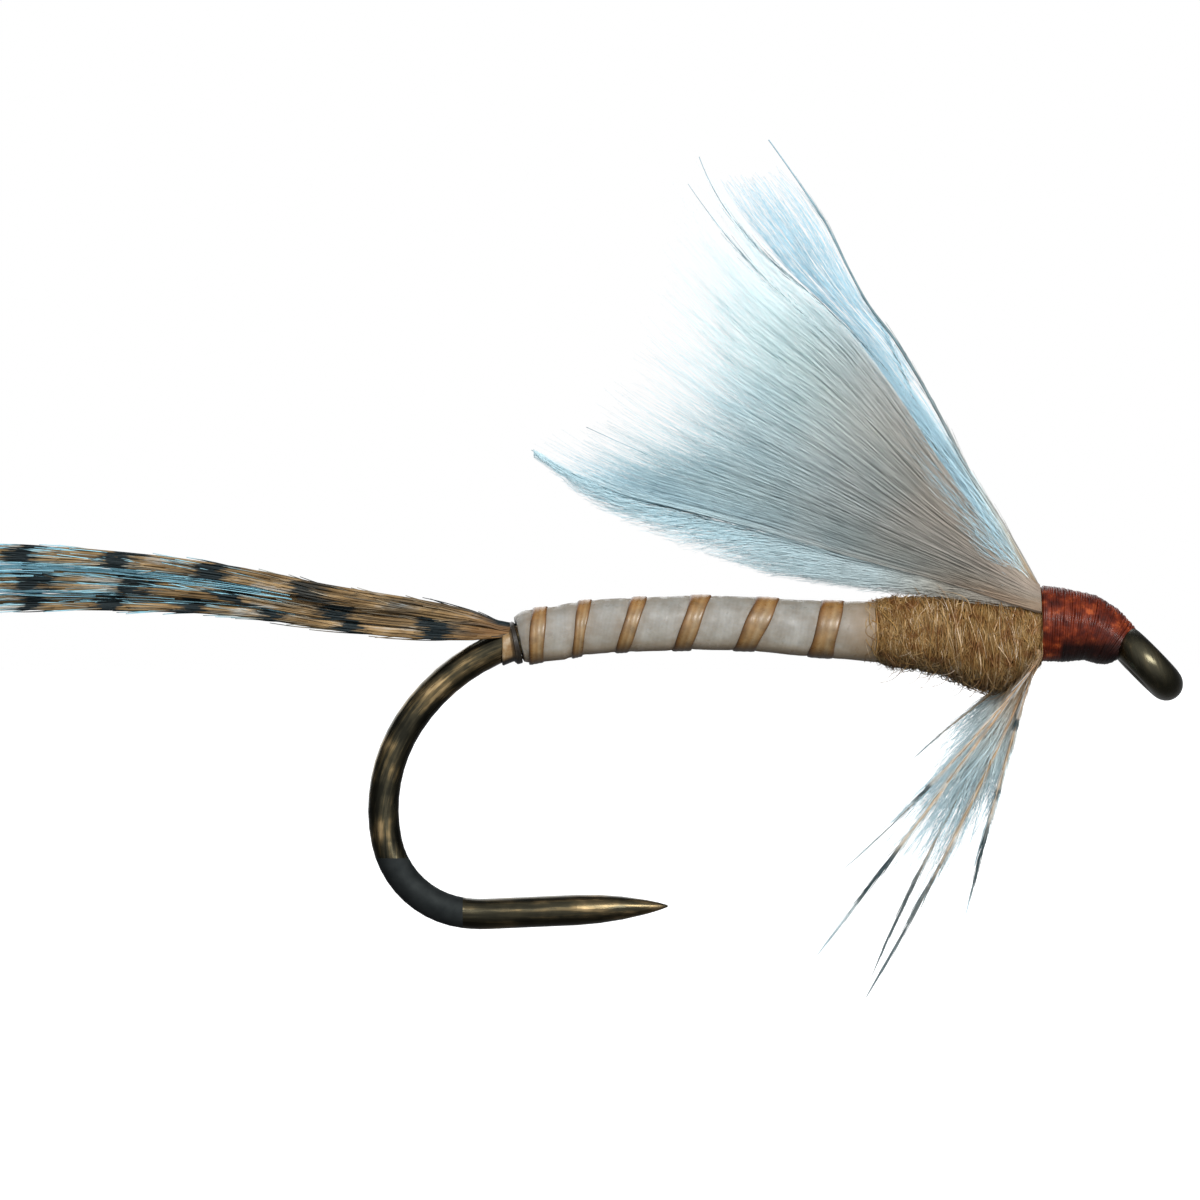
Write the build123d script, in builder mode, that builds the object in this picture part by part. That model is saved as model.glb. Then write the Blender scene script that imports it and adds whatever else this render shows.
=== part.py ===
"""A size 10 dry fly, tied on a barbless hook with a down-turned eye.

Frame: millimetres, +Z up, +X towards the eye, origin at the centre of the hook eye.
The hook lies in the XZ plane, and everything else is tied round its shank.
"""

import os
from math import asin, cos, pi, radians, sin

from build123d import *

# Hook
WIRE_R = 0.32
SHANK_Z = 0.79  # shank centreline above the centre of the eye
SHANK_REAR_X = -11.35  # where the straight shank ends and the bend begins
EYE_MID_R = 0.60  # radius of the ring, at the middle of the wire
EYE_WIRE_R = 0.35  # the wire of the ring, thickened by its closing bend and its coating
EYE_BORE_R = 0.26  # land that the forming pin leaves inside the ring
EYE_TURN = 45.7  # degrees that the eye is turned down from the shank
NECK_BEND_R = 0.9
BEND_ARCS = [(5.2, 30), (4.15, 27), (3.3, 45), (1.88, 71), (3.0, 9.5)]  # radius, degrees
POINT_STRAIGHT = 1.86
POINT_TAPER = 1.89
POINT_TIP_R = 0.02
POINT_FULLNESS = [(0.70, 0.315), (1.50, 0.17)]  # control points of the ground profile

# Thread, body and ribbing, all wound round the shank
THREAD_BASE_R = 0.36
THREAD_BASE_FRONT_X = -1.2
TIE_R = 0.42
TIE_TURN = 4.0  # degrees of the bend that the tail's tying turns cover
BODY_FRONT_X = -5.75
BODY_R = 0.565
BODY_REAR_TURN = 18.5  # degrees round the first bend arc that the body reaches
BODY_END_SLOPE = (0.10, 0.30)  # across and along, at the rear end of the body
RIB_PROUD = 0.04
RIB_START_X = -12.86
RIB_PITCH = (0.85, 0.073)  # millimetres per turn, and growth per turn squared
RIB_LAG = 0.085  # how much further each turn lags behind on top of the body
RIB_WIDTH = (0.28, 0.035)  # width at the first turn, and growth per turn
RIB_CUTTER = 0.24  # radial size of the ribbon that is trimmed to the rib's layer
RIB_TURNS = 5.9
RIB_SECTIONS_PER_TURN = 10

# Thorax of dubbed fur: station, centre height, radius
THORAX = [
    (-5.75, 0.74, 0.59),
    (-4.83, 0.62, 0.67),
    (-4.27, 0.53, 0.76),
    (-3.73, 0.41, 0.88),
    (-3.17, 0.34, 0.97),
    (-2.77, 0.44, 0.89),
    (-2.22, 0.66, 0.67),
]

# Thread head: station, height, degrees turned down, half height, half width
HEAD = [
    (-2.20, 0.84, 0, 0.81, 0.80),
    (-1.75, 0.80, 0, 0.79, 0.79),
    (-1.15, 0.76, 8, 0.70, 0.74),
    (-0.80, 0.65, 25, 0.60, 0.70),
]
WHIP_FINISH = [
    (-0.80, 0.65, 25, 0.60, 0.70),
    (-0.56, 0.50, 38, 0.50, 0.70),
    (-0.40, 0.38, 45.7, 0.36, 0.68),
]

# Sections of every fibre, as shares of its length
FIBRE_STATIONS = (0, 0.3, 0.6, 0.85, 1)
FIBRE_SIDES = 8

# Tail: a bundle of feather fibres that leaves the hook behind its tying turns
TAIL_LOWEST = [(-14.0, 0.58), (-17.6, 0.92), (-20.6, 1.14), (-25.5, 1.12)]
TAIL_HIGHEST = [(-14.0, 1.02), (-17.6, 1.62), (-20.6, 2.16), (-25.5, 2.36)]
TAIL_LAYERS = [  # fibres, distance from the wire's centre, lowest and highest place in the fan
    (7, 0.41, (0.0, 0.48)),
    (5, 0.57, (0.58, 1.0)),
]
TAIL_SEAT_ANGLE = 74.0
SEATED = 0.03  # how far a fibre's root reaches into what binds it
TAIL_UNEVEN = 0.35
TAIL_ROOT_R = 0.075
TAIL_TIP_R = 0.045
TAIL_HALF_SPREAD = 0.85

# Wing: two feathers, back to back, and long guard fibres between them
WING_ROOT = (-2.21, 1.62)
WING_UPPER_EDGE = [(-4.6, 5.9), (-7.9, 10.9)]
WING_OUTER_EDGE = [(-11.1, 8.3), (-12.5, 4.25)]
WING_LOWER_EDGE = [(-8.6, 2.55), (-2.21, 1.38)]
WING_THICK = 0.42
WING_GAP = 0.16
WING_LEAN = 6.0  # degrees that each feather leans away from the other
WING_FIBRE_ROOT_R = 0.04
WING_FIBRE_TIP_R = 0.015
WING_FIBRES = [  # the height of the root, then the middle and the tip of each
    (1.60, (-5.05, 6.90), (-7.75, 10.85)),
    (1.57, (-5.60, 6.55), (-9.00, 10.50)),
    (1.54, (-6.60, 6.00), (-10.60, 8.90)),
    (1.51, (-7.10, 4.90), (-11.60, 7.00)),
    (1.48, (-7.60, 3.90), (-12.20, 5.20)),
    (1.45, (-7.60, 3.10), (-12.60, 4.35)),
]

# Throat hackle: middle, tip and how far each fibre stands to the side
HACKLE_ROOT = (-2.34, -0.04)
HACKLE_SPREAD = (0.42, 0.70, 1.25)  # share of the side step at root, middle and tip
HACKLE_ROOT_R = 0.055
HACKLE_TIP_R = 0.02
HACKLE_FIBRES = [
    ((-4.30, -2.66), (-6.92, -6.08), -0.75),
    ((-3.72, -3.05), (-5.85, -6.95), -0.25),
    ((-3.86, -2.70), (-5.69, -6.53), 0.40),
    ((-3.10, -2.60), (-3.79, -5.22), -0.50),
    ((-3.90, -1.85), (-5.40, -3.30), -1.05),
    ((-3.70, -1.05), (-4.79, -2.03), 1.15),
    ((-4.20, -2.30), (-6.35, -4.41), 0.90),
    ((-2.98, -2.30), (-3.55, -4.30), 0.60),
]
DOWN_THICK = 0.12
DOWN_OUTLINE = [(-2.42, -0.35), (-3.9, -2.3), (-4.95, -4.2), (-3.85, -4.0), (-3.15, -3.2)]

os.makedirs("parts", exist_ok=True)

shank_rear = (SHANK_REAR_X, SHANK_Z)
eye_out = Vector(cos(radians(EYE_TURN)), 0, -sin(radians(EYE_TURN)))  # from neck to eye
eye_axis = Vector(sin(radians(EYE_TURN)), 0, cos(radians(EYE_TURN)))  # out of the hole


def body_frame(x):
    """Point on the centreline of the wire at station x, and the way forward there."""
    behind = max(SHANK_REAR_X - x, 0)
    bend_r = BEND_ARCS[0][0]
    turn = asin(behind / bend_r)
    centre = Vector(x, 0, SHANK_Z - bend_r * (1 - cos(turn)))
    return centre, Vector(cos(turn), 0, sin(turn))


def save(builder, name):
    """Label a finished piece and write it as parts/NAME.step."""
    builder.part.label = name
    export_step(builder.part, f"parts/{name}.step")


def sleeve(front_x, rear_turn, inner_r, outer_r, end_slope=None):
    """A tube round the shank, from front_x to rear_turn degrees round the bend."""
    with BuildPart() as tube:
        with BuildLine(Plane.XZ) as route:
            straight = Line((front_x, SHANK_Z), shank_rear)
            JernArc(straight @ 1, straight % 1, BEND_ARCS[0][0], rear_turn)
        with BuildSketch(Plane(route.line @ 0, z_dir=route.line % 0)):
            Circle(outer_r)
            Circle(inner_r, mode=Mode.SUBTRACT)
        sweep()
        if end_slope:
            rear_face = tube.faces().filter_by(GeomType.PLANE).sort_by(Axis.X)[0]
            rear_rim = rear_face.edges().sort_by(SortBy.RADIUS)[-1]
            chamfer(rear_rim, end_slope[0], end_slope[1], reference=rear_face)
    return tube


def fibre(points, root_r, tip_r):
    """An eight-sided fibre, tapered along a smooth curve through the points."""
    with BuildPart() as strand:
        with BuildLine(mode=Mode.PRIVATE) as route:
            Spline(*points)
        for t in FIBRE_STATIONS:
            across = Plane(route.line @ t, x_dir=(0, 1, 0), z_dir=route.line % t)
            with BuildSketch(across):
                RegularPolygon(root_r + (tip_r - root_r) * t, FIBRE_SIDES)
        loft()
    return strand


def oval_stack(stations):
    """A solid through upright ovals: station, height, turn, half height, half width."""
    with BuildPart() as stack:
        for x, z, turn, half_height, half_width in stations:
            forward = Vector(cos(radians(turn)), 0, -sin(radians(turn)))
            with BuildSketch(Plane((x, 0, z), x_dir=(0, 1, 0), z_dir=forward)):
                Ellipse(half_width, half_height)
        loft()
    return stack


# Hook: one bent wire, its eye ring closed against the neck, its point ground to a taper
with BuildPart() as hook:
    with BuildLine(Plane.XZ) as wire:
        corner = SHANK_Z / sin(radians(EYE_TURN))  # along the neck, from eye centre to shank
        tangent = NECK_BEND_R * sin(radians(EYE_TURN)) / (1 + cos(radians(EYE_TURN)))
        run = Line(eye_out * -EYE_MID_R, eye_out * (tangent - corner))
        run = JernArc(run @ 1, run % 1, NECK_BEND_R, EYE_TURN)
        run = Line(run @ 1, Vector(SHANK_REAR_X, 0, SHANK_Z))
        for bend_r, turn in BEND_ARCS:
            run = JernArc(run @ 1, run % 1, bend_r, turn)
        run = Line(run @ 1, run @ 1 + (run % 1) * POINT_STRAIGHT)
    with BuildSketch(Plane(wire.line @ 0, z_dir=wire.line % 0)):
        Circle(WIRE_R)
    sweep()
    point_plane = Plane(wire.line @ 1, x_dir=wire.line % 1, z_dir=(0, -1, 0))
    with BuildSketch(point_plane):
        with BuildLine():
            Polyline((POINT_TAPER, POINT_TIP_R), (POINT_TAPER, 0), (0, 0), (0, WIRE_R))
            Bezier((0, WIRE_R), *POINT_FULLNESS, (POINT_TAPER, POINT_TIP_R))
        make_face()
    revolve(axis=Axis(point_plane.origin, point_plane.x_dir))
    with Locations(Plane((0, 0, 0), x_dir=(0, 1, 0), z_dir=eye_axis)):
        Torus(EYE_MID_R, EYE_WIRE_R)
        Cylinder(EYE_BORE_R, 3 * EYE_WIRE_R, mode=Mode.SUBTRACT)
save(hook, "hook")
print("point of the hook at", wire.line @ 1 + (wire.line % 1) * POINT_TAPER)

# Thread: the base wound along the shank, and the turns that bind the tail behind the body
thread_base = sleeve(THREAD_BASE_FRONT_X, BODY_REAR_TURN, WIRE_R, THREAD_BASE_R)
save(thread_base, "thread_base")

with BuildPart() as tail_tie_turns:
    with BuildLine(Plane.XZ) as route:
        start, forward = body_frame(SHANK_REAR_X - BEND_ARCS[0][0] * sin(radians(BODY_REAR_TURN)))
        JernArc(start, forward * -1, BEND_ARCS[0][0], TIE_TURN)
    with BuildSketch(Plane(route.line @ 0, z_dir=route.line % 0)):
        Circle(TIE_R)
        Circle(WIRE_R, mode=Mode.SUBTRACT)
    sweep()
save(tail_tie_turns, "tail_tie_turns")
tail_start = route.line @ 1

# Body: a floss tube over the thread, and a flat strip wound over it in opening turns
abdomen_floss = sleeve(BODY_FRONT_X, BODY_REAR_TURN, THREAD_BASE_R, BODY_R, BODY_END_SLOPE)
save(abdomen_floss, "abdomen_floss")

rib_layer = sleeve(BODY_FRONT_X, BODY_REAR_TURN, BODY_R, BODY_R + RIB_PROUD)
with BuildPart() as rib_strip:
    for step in range(round(RIB_TURNS * RIB_SECTIONS_PER_TURN) + 1):
        turns = step / RIB_SECTIONS_PER_TURN
        angle = 2 * pi * turns
        lag = RIB_LAG * turns * (1 - cos(angle)) / 2
        x = RIB_START_X + RIB_PITCH[0] * turns + RIB_PITCH[1] * turns**2 - lag
        centre, forward = body_frame(x)
        up = forward.cross(Vector(0, -1, 0)) * -1
        outward = up * -cos(angle) + Vector(0, -1, 0) * sin(angle)
        around = up * sin(angle) + Vector(0, -1, 0) * cos(angle)
        with BuildSketch(Plane(centre + outward * BODY_R, x_dir=forward, z_dir=around)):
            Rectangle(RIB_WIDTH[0] + RIB_WIDTH[1] * turns, RIB_CUTTER)
    loft(ruled=True)
    add(rib_layer.part, mode=Mode.INTERSECT)
save(rib_strip, "rib_strip")

# Thorax: fur dubbed round the thread base, fuller below the shank
with BuildPart() as thorax_dubbing:
    for x, z, girth_r in THORAX:
        with BuildSketch(Plane((x, 0, z), x_dir=(0, 1, 0), z_dir=(1, 0, 0))):
            Circle(girth_r)
    loft()
    add(hook.part, mode=Mode.SUBTRACT)
    add(thread_base.part, mode=Mode.SUBTRACT)
save(thorax_dubbing, "thorax_dubbing")

# Head: a cone of thread turns, closed by a whip finish that crowds the eye
for name, stations in (("head_thread", HEAD), ("whip_finish", WHIP_FINISH)):
    with BuildPart() as head_piece:
        add(oval_stack(stations).part)
        add(hook.part, mode=Mode.SUBTRACT)
        add(thread_base.part, mode=Mode.SUBTRACT)
    save(head_piece, name)

# Tail fibres: seated round the top of the wire in two layers, spreading towards their tips
number = 0
for count, ring_r, (lowest, highest) in TAIL_LAYERS:
    for i in range(count):
        side = 2 * i / (count - 1) - 1  # -1 nearest side to +1 farthest side
        seat = radians(TAIL_SEAT_ANGLE) * side
        root = tail_start + Vector(SEATED, ring_r * sin(seat), ring_r * cos(seat))
        height = lowest + (highest - lowest) * (3 * i % count) / (count - 1)
        number += 1
        points = [root]
        for (x, low), (_, high) in zip(TAIL_LOWEST, TAIL_HIGHEST):
            along = (x - root.X) / (TAIL_LOWEST[-1][0] - root.X)
            x += TAIL_UNEVEN * sin(1.7 * number) * along
            y = root.Y + (TAIL_HALF_SPREAD * side - root.Y) * along
            free = min(3 * along, 1)  # close to the hook the fibres lie as they are bound
            points.append(Vector(x, y, (low + (high - low) * height) * free + root.Z * (1 - free)))
        save(fibre(points, TAIL_ROOT_R, TAIL_TIP_R), f"tail_fibre_{number:02d}")

# Wing: two plain leaves of the outline of the feathers, leaning apart
for name, side in (("wing_feather_near", -1), ("wing_feather_far", 1)):
    lean = radians(WING_LEAN)
    leaf_plane = Plane(
        (0, side * WING_GAP / 2, 0),
        x_dir=(1, 0, 0),
        z_dir=(0, side * cos(lean), -sin(lean)),
    )
    flip = 1 if leaf_plane.y_dir.Z > 0 else -1
    outline = [(x, flip * z) for x, z in WING_UPPER_EDGE + WING_OUTER_EDGE + WING_LOWER_EDGE]
    top_root = (WING_ROOT[0], flip * WING_ROOT[1])
    with BuildPart() as wing_feather:
        with BuildSketch(leaf_plane):
            with BuildLine():
                ThreePointArc(top_root, outline[0], outline[1])
                ThreePointArc(outline[1], outline[2], outline[3])
                ThreePointArc(outline[3], outline[4], outline[5])
                Line(outline[5], top_root)
            make_face()
        extrude(amount=WING_THICK)
    save(wing_feather, name)

for number, (root_z, middle, tip) in enumerate(WING_FIBRES, 1):
    root_x = WING_ROOT[0] - SEATED
    points = [(root_x, 0, root_z), (middle[0], 0, middle[1]), (tip[0], 0, tip[1])]
    save(fibre(points, WING_FIBRE_ROOT_R, WING_FIBRE_TIP_R), f"wing_fibre_{number:02d}")

# Throat hackle: a few long barred fibres, and the down at their roots
for number, (middle, tip, side) in enumerate(HACKLE_FIBRES, 1):
    points = [
        (x, side * share, z)
        for (x, z), share in zip((HACKLE_ROOT, middle, tip), HACKLE_SPREAD)
    ]
    save(fibre(points, HACKLE_ROOT_R, HACKLE_TIP_R), f"hackle_fibre_{number:02d}")

with BuildPart() as hackle_down:
    with BuildSketch(Plane.XZ.offset(-DOWN_THICK / 2)):
        with BuildLine():
            Polyline(*DOWN_OUTLINE, close=True)
        make_face()
    extrude(amount=DOWN_THICK)
save(hackle_down, "hackle_down")
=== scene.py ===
"""Looks of a size 10 dry fly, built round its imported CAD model.

Shapes are worked out in millimetres in the row frame: +Z up, +X towards the hook eye, origin
at the centre of the eye. They become metres where a mesh is written.
"""

import math

import bpy
import numpy as np
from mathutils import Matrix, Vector


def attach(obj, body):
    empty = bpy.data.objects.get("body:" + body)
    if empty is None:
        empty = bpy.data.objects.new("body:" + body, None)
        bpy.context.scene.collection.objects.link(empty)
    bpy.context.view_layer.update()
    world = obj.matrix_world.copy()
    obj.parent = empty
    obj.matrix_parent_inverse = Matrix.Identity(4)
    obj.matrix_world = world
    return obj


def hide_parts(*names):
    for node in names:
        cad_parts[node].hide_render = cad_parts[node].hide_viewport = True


MM = 0.001
TURN = 2 * math.pi
ACROSS = np.array([0.0, 1.0, 0.0])

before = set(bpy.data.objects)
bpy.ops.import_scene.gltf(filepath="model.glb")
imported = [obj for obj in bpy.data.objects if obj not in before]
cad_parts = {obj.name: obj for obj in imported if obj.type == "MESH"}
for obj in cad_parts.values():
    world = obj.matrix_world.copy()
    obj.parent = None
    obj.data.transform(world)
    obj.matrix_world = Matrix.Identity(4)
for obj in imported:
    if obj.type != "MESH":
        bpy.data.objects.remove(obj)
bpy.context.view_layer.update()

# The hook's shank and bend, and the body wound on it
SHANK_Z = 0.79
SHANK_REAR_X = -11.35
BEND_R = 5.2
BODY_FRONT_X = -5.62
BODY_REAR_X = -13.0
TIE_REAR_X = -13.38
BODY_R = 0.565
# Where each turn of the rib crosses the bottom and the top of the body, and its width there
RIB_BOTTOM = [-12.86, -11.91, -10.92, -9.67, -8.38, -6.80, -5.55]
RIB_TOP = [-12.50, -11.66, -10.56, -9.28, -7.88, -6.53, -5.40]
RIB_WIDTH = [0.33, 0.25, 0.29, 0.39, 0.47, 0.50, 0.50]
RIB_TURNS = 5.9
# How far the body is lifted from the shank, and how much it is swollen, at stations along it
BODY_LIFT = [
    (-13.0, 0.0), (-12.7, -0.03), (-12.2, -0.09), (-11.8, -0.045), (-11.3, -0.02), (-10.9, 0.01),
    (-9.3, 0.06), (-8.2, 0.035), (-7.2, -0.055), (-6.3, -0.10), (-5.6, -0.13),
]
BODY_SWELL = [(-8.2, 0.0), (-7.2, 0.016), (-6.3, 0.035), (-5.6, 0.070)]

# Thorax: station, centre height, radius
THORAX = [
    (-5.68, 0.68, 0.62),
    (-5.30, 0.65, 0.71),
    (-4.83, 0.63, 0.73),
    (-4.27, 0.56, 0.79),
    (-3.73, 0.43, 0.88),
    (-3.17, 0.34, 0.95),
    (-2.77, 0.44, 0.87),
    (-2.22, 0.66, 0.67),
]

# Thread head: station, height, degrees turned down, half height, half width
HEAD = [
    (-2.20, 0.84, 0, 0.79, 0.79),
    (-1.75, 0.80, 2, 0.77, 0.78),
    (-1.15, 0.745, 10, 0.68, 0.72),
    (-0.80, 0.55, 25, 0.60, 0.67),
    (-0.56, 0.38, 38, 0.49, 0.60),
    (-0.40, 0.29, 45.7, 0.35, 0.54),
]

# Tail: three bundles of fibres: the line of each, how thick it is, where one of its dark bars
# has its middle, how far apart the bars are, and the numbers of its fibres
TAIL_BUNDLES = [
    ([(-12.9, 0.71), (-13.4, 0.76), (-13.8, 0.90), (-14.7, 1.07), (-17.0, 1.43), (-19.3, 1.87),
      (-21.8, 2.17), (-25.6, 2.29)], 0.11, -23.38, 1.98, (9, 10, 11, 12)),
    ([(-12.9, 0.67), (-13.3, 0.69), (-13.7, 0.755), (-14.7, 0.90), (-17.0, 1.16), (-19.3, 1.53),
      (-21.8, 1.72), (-25.6, 1.72)], 0.15, -23.19, 2.10, (2, 3, 5, 7, 8)),
    ([(-12.9, 0.65), (-13.4, 0.645), (-13.8, 0.625), (-14.7, 0.66), (-17.0, 0.86), (-19.3, 1.17),
      (-21.8, 1.28), (-25.6, 1.22)], 0.11, -23.19, 1.68, (1, 4, 6)),
]
TAIL_HALF_SPREAD = 0.8
# The tail is dark above this line, near its root
TAIL_RIM = [
    (-15.9, 9.0), (-15.7, 1.6), (-14.9, 1.24), (-14.1, 1.06), (-13.77, 0.90),
    (-13.46, 0.74), (-13.25, 0.68), (-13.0, 0.66),
]

# Throat hackle: middle, tip, step to the side, dark bars as (centre, half width, depth), size
HACKLE_ROOT = (-2.34, -0.04)
HACKLE_SPREAD = (0.42, 0.70, 1.25)
HACKLE_FIBRES = [
    ((-4.30, -2.66), (-6.92, -6.08), -0.75, [(0.72, 0.09, 1.0), (0.30, 0.03, 0.3)], 1.15),
    ((-3.72, -3.05), (-5.85, -6.95), -0.25, [(0.80, 0.24, 0.66), (0.62, 0.04, 0.4)], 1.25),
    ((-3.86, -2.70), (-5.69, -6.53), 0.40, [(0.85, 0.24, 0.66)], 1.0),
    ((-3.10, -2.60), (-3.79, -5.22), -0.50,
     [(0.78, 0.14, 1.0), (0.24, 0.025, 0.9), (0.52, 0.025, 0.7)], 1.1),
    ((-3.90, -1.85), (-5.40, -3.30), -1.05, [(0.79, 0.06, 0.9)], 0.95),
    ((-3.70, -1.05), (-4.79, -2.03), 1.15, [(0.55, 0.10, 0.2)], 0.6),
    ((-4.20, -2.30), (-6.35, -4.41), 0.90, [], 0.5),
    ((-2.98, -2.30), (-3.55, -4.30), 0.60, [(0.45, 0.08, 0.5)], 0.9),
]


# ---------------------------------------------------------------- mesh helpers


def write_mesh(name, points, faces, values):
    """A mesh object from points in millimetres, arrays of faces and values on the points."""
    mesh = bpy.data.meshes.new(name)
    mesh.vertices.add(len(points))
    mesh.vertices.foreach_set("co", np.asarray(points * MM, np.float32).ravel())
    corners = np.concatenate([f.ravel() for f in faces]).astype(np.int32)
    sizes = np.concatenate([np.full(len(f), f.shape[1]) for f in faces])
    starts = np.concatenate([[0], np.cumsum(sizes)[:-1]]).astype(np.int32)
    mesh.loops.add(len(corners))
    mesh.loops.foreach_set("vertex_index", corners)
    mesh.polygons.add(len(sizes))
    mesh.polygons.foreach_set("loop_start", starts)
    mesh.polygons.foreach_set("use_smooth", np.full(len(sizes), True))
    for key, value in values.items():
        attribute = mesh.attributes.new(key, "FLOAT", "POINT")
        attribute.data.foreach_set("value", np.asarray(value, np.float32).ravel())
    mesh.update(calc_edges=True)
    mesh.validate()
    piece = bpy.data.objects.new(name, mesh)
    bpy.context.scene.collection.objects.link(piece)
    return piece


def dress(piece, material, node=None):
    """Give a piece its material and its body, and hide the CAD node that it stands for."""
    piece.data.materials.append(material)
    if node:
        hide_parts(node)
    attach(piece, "root")


def unit(vectors):
    """Vectors made one long."""
    length = np.linalg.norm(vectors, axis=-1, keepdims=True)
    return vectors / np.maximum(length, 1e-9)


def moving_frames(paths):
    """Normals and binormals that turn as little as they can along each path."""
    tangent = unit(np.gradient(paths, axis=1))
    normal = np.empty_like(paths)
    current = unit(np.cross(ACROSS, tangent[:, 0]))
    for i in range(paths.shape[1]):
        t = tangent[:, i]
        current = unit(current - (current * t).sum(-1, keepdims=True) * t)
        normal[:, i] = current
    return normal, np.cross(tangent, normal)


def ring_faces(rings, steps, sides):
    """Quads round each closed tube, and a cap on each of its ends."""
    index = np.arange(rings * steps * sides).reshape(rings, steps, sides)
    here, ahead = index[:, :-1], index[:, 1:]
    beside, beyond = np.roll(here, -1, axis=2), np.roll(ahead, -1, axis=2)
    quads = np.stack([here, beside, beyond, ahead], axis=-1).reshape(-1, 4)
    return [quads, index[:, 0, ::-1], index[:, -1]]


def spread_values(values, shape, sides):
    """Per-strand or per-point values, repeated on every vertex of the tubes."""
    out = {}
    for key, value in values.items():
        value = np.asarray(value, float)
        if value.ndim == 1:
            value = value[:, None]
        out[key] = np.repeat(np.broadcast_to(value, shape).reshape(-1), sides)
    return out


def tubes(name, paths, radii, sides=3, flat=1.0, **values):
    """Closed tubes along paths (strand, step, xyz); flat is their thickness across Y."""
    rings, steps = radii.shape
    normal, binormal = moving_frames(paths)
    turn = np.arange(sides) * TURN / sides
    wide = normal[:, :, None] * np.cos(turn)[:, None]
    thin = binormal[:, :, None] * np.sin(turn)[:, None] * flat
    points = paths[:, :, None] + (wide + thin) * radii[:, :, None, None]
    values.setdefault("along", np.linspace(0, 1, steps)[None, :])
    faces = ring_faces(rings, steps, sides)
    values = spread_values(values, (rings, steps), sides)
    return write_mesh(name, points.reshape(-1, 3), faces, values)


def tube_groups(name, groups, paths, radii, sides, **values):
    """The same tubes as several pieces, so that each mesh is small enough to be kept whole."""
    pieces = []
    for group in range(groups):
        own = slice(group, None, groups)
        own_values = {key: value[own] for key, value in values.items()}
        pieces.append(tubes(f"{name}_{group + 1}", paths[own], radii[own], sides, **own_values))
    return pieces


def smooth_path(points, t):
    """Points (strand, knot, xyz) joined by a smooth curve, read at shares t of its length."""
    points = np.asarray(points, float)
    gap = np.linalg.norm(np.diff(points, axis=1), axis=-1)
    knots = np.concatenate([np.zeros((len(points), 1)), np.cumsum(gap, axis=1)], axis=1)
    knots /= knots[:, -1:]
    slope = np.empty_like(points)
    for s in range(len(points)):
        for c in range(3):
            slope[s, :, c] = np.gradient(points[s, :, c], knots[s], edge_order=2)
    out = np.empty((len(points), len(t), 3))
    for s in range(len(points)):
        k = np.clip(np.searchsorted(knots[s], t, side="right") - 1, 0, points.shape[1] - 2)
        width = knots[s, k + 1] - knots[s, k]
        u = ((t - knots[s, k]) / width)[:, None]
        width = width[:, None]
        out[s] = (
            (2 * u**3 - 3 * u**2 + 1) * points[s, k]
            + (u**3 - 2 * u**2 + u) * width * slope[s, k]
            + (3 * u**2 - 2 * u**3) * points[s, k + 1]
            + (u**3 - u**2) * width * slope[s, k + 1]
        )
    return out


def read_line(at, t, line):
    """Points at shares at of a line whose points stand at shares t."""
    return np.stack([np.interp(at, t, line[:, c]) for c in range(3)], -1)


def waves(rng, count, t, turns, size):
    """Soft sideways wandering (strand, step), none at the root."""
    phase = rng.uniform(0, TURN, (count, 1))
    speed = turns * rng.uniform(0.6, 1.4, (count, 1))
    return size * np.sin(phase + TURN * speed * t) * t


# ---------------------------------------------------------------- materials


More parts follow.
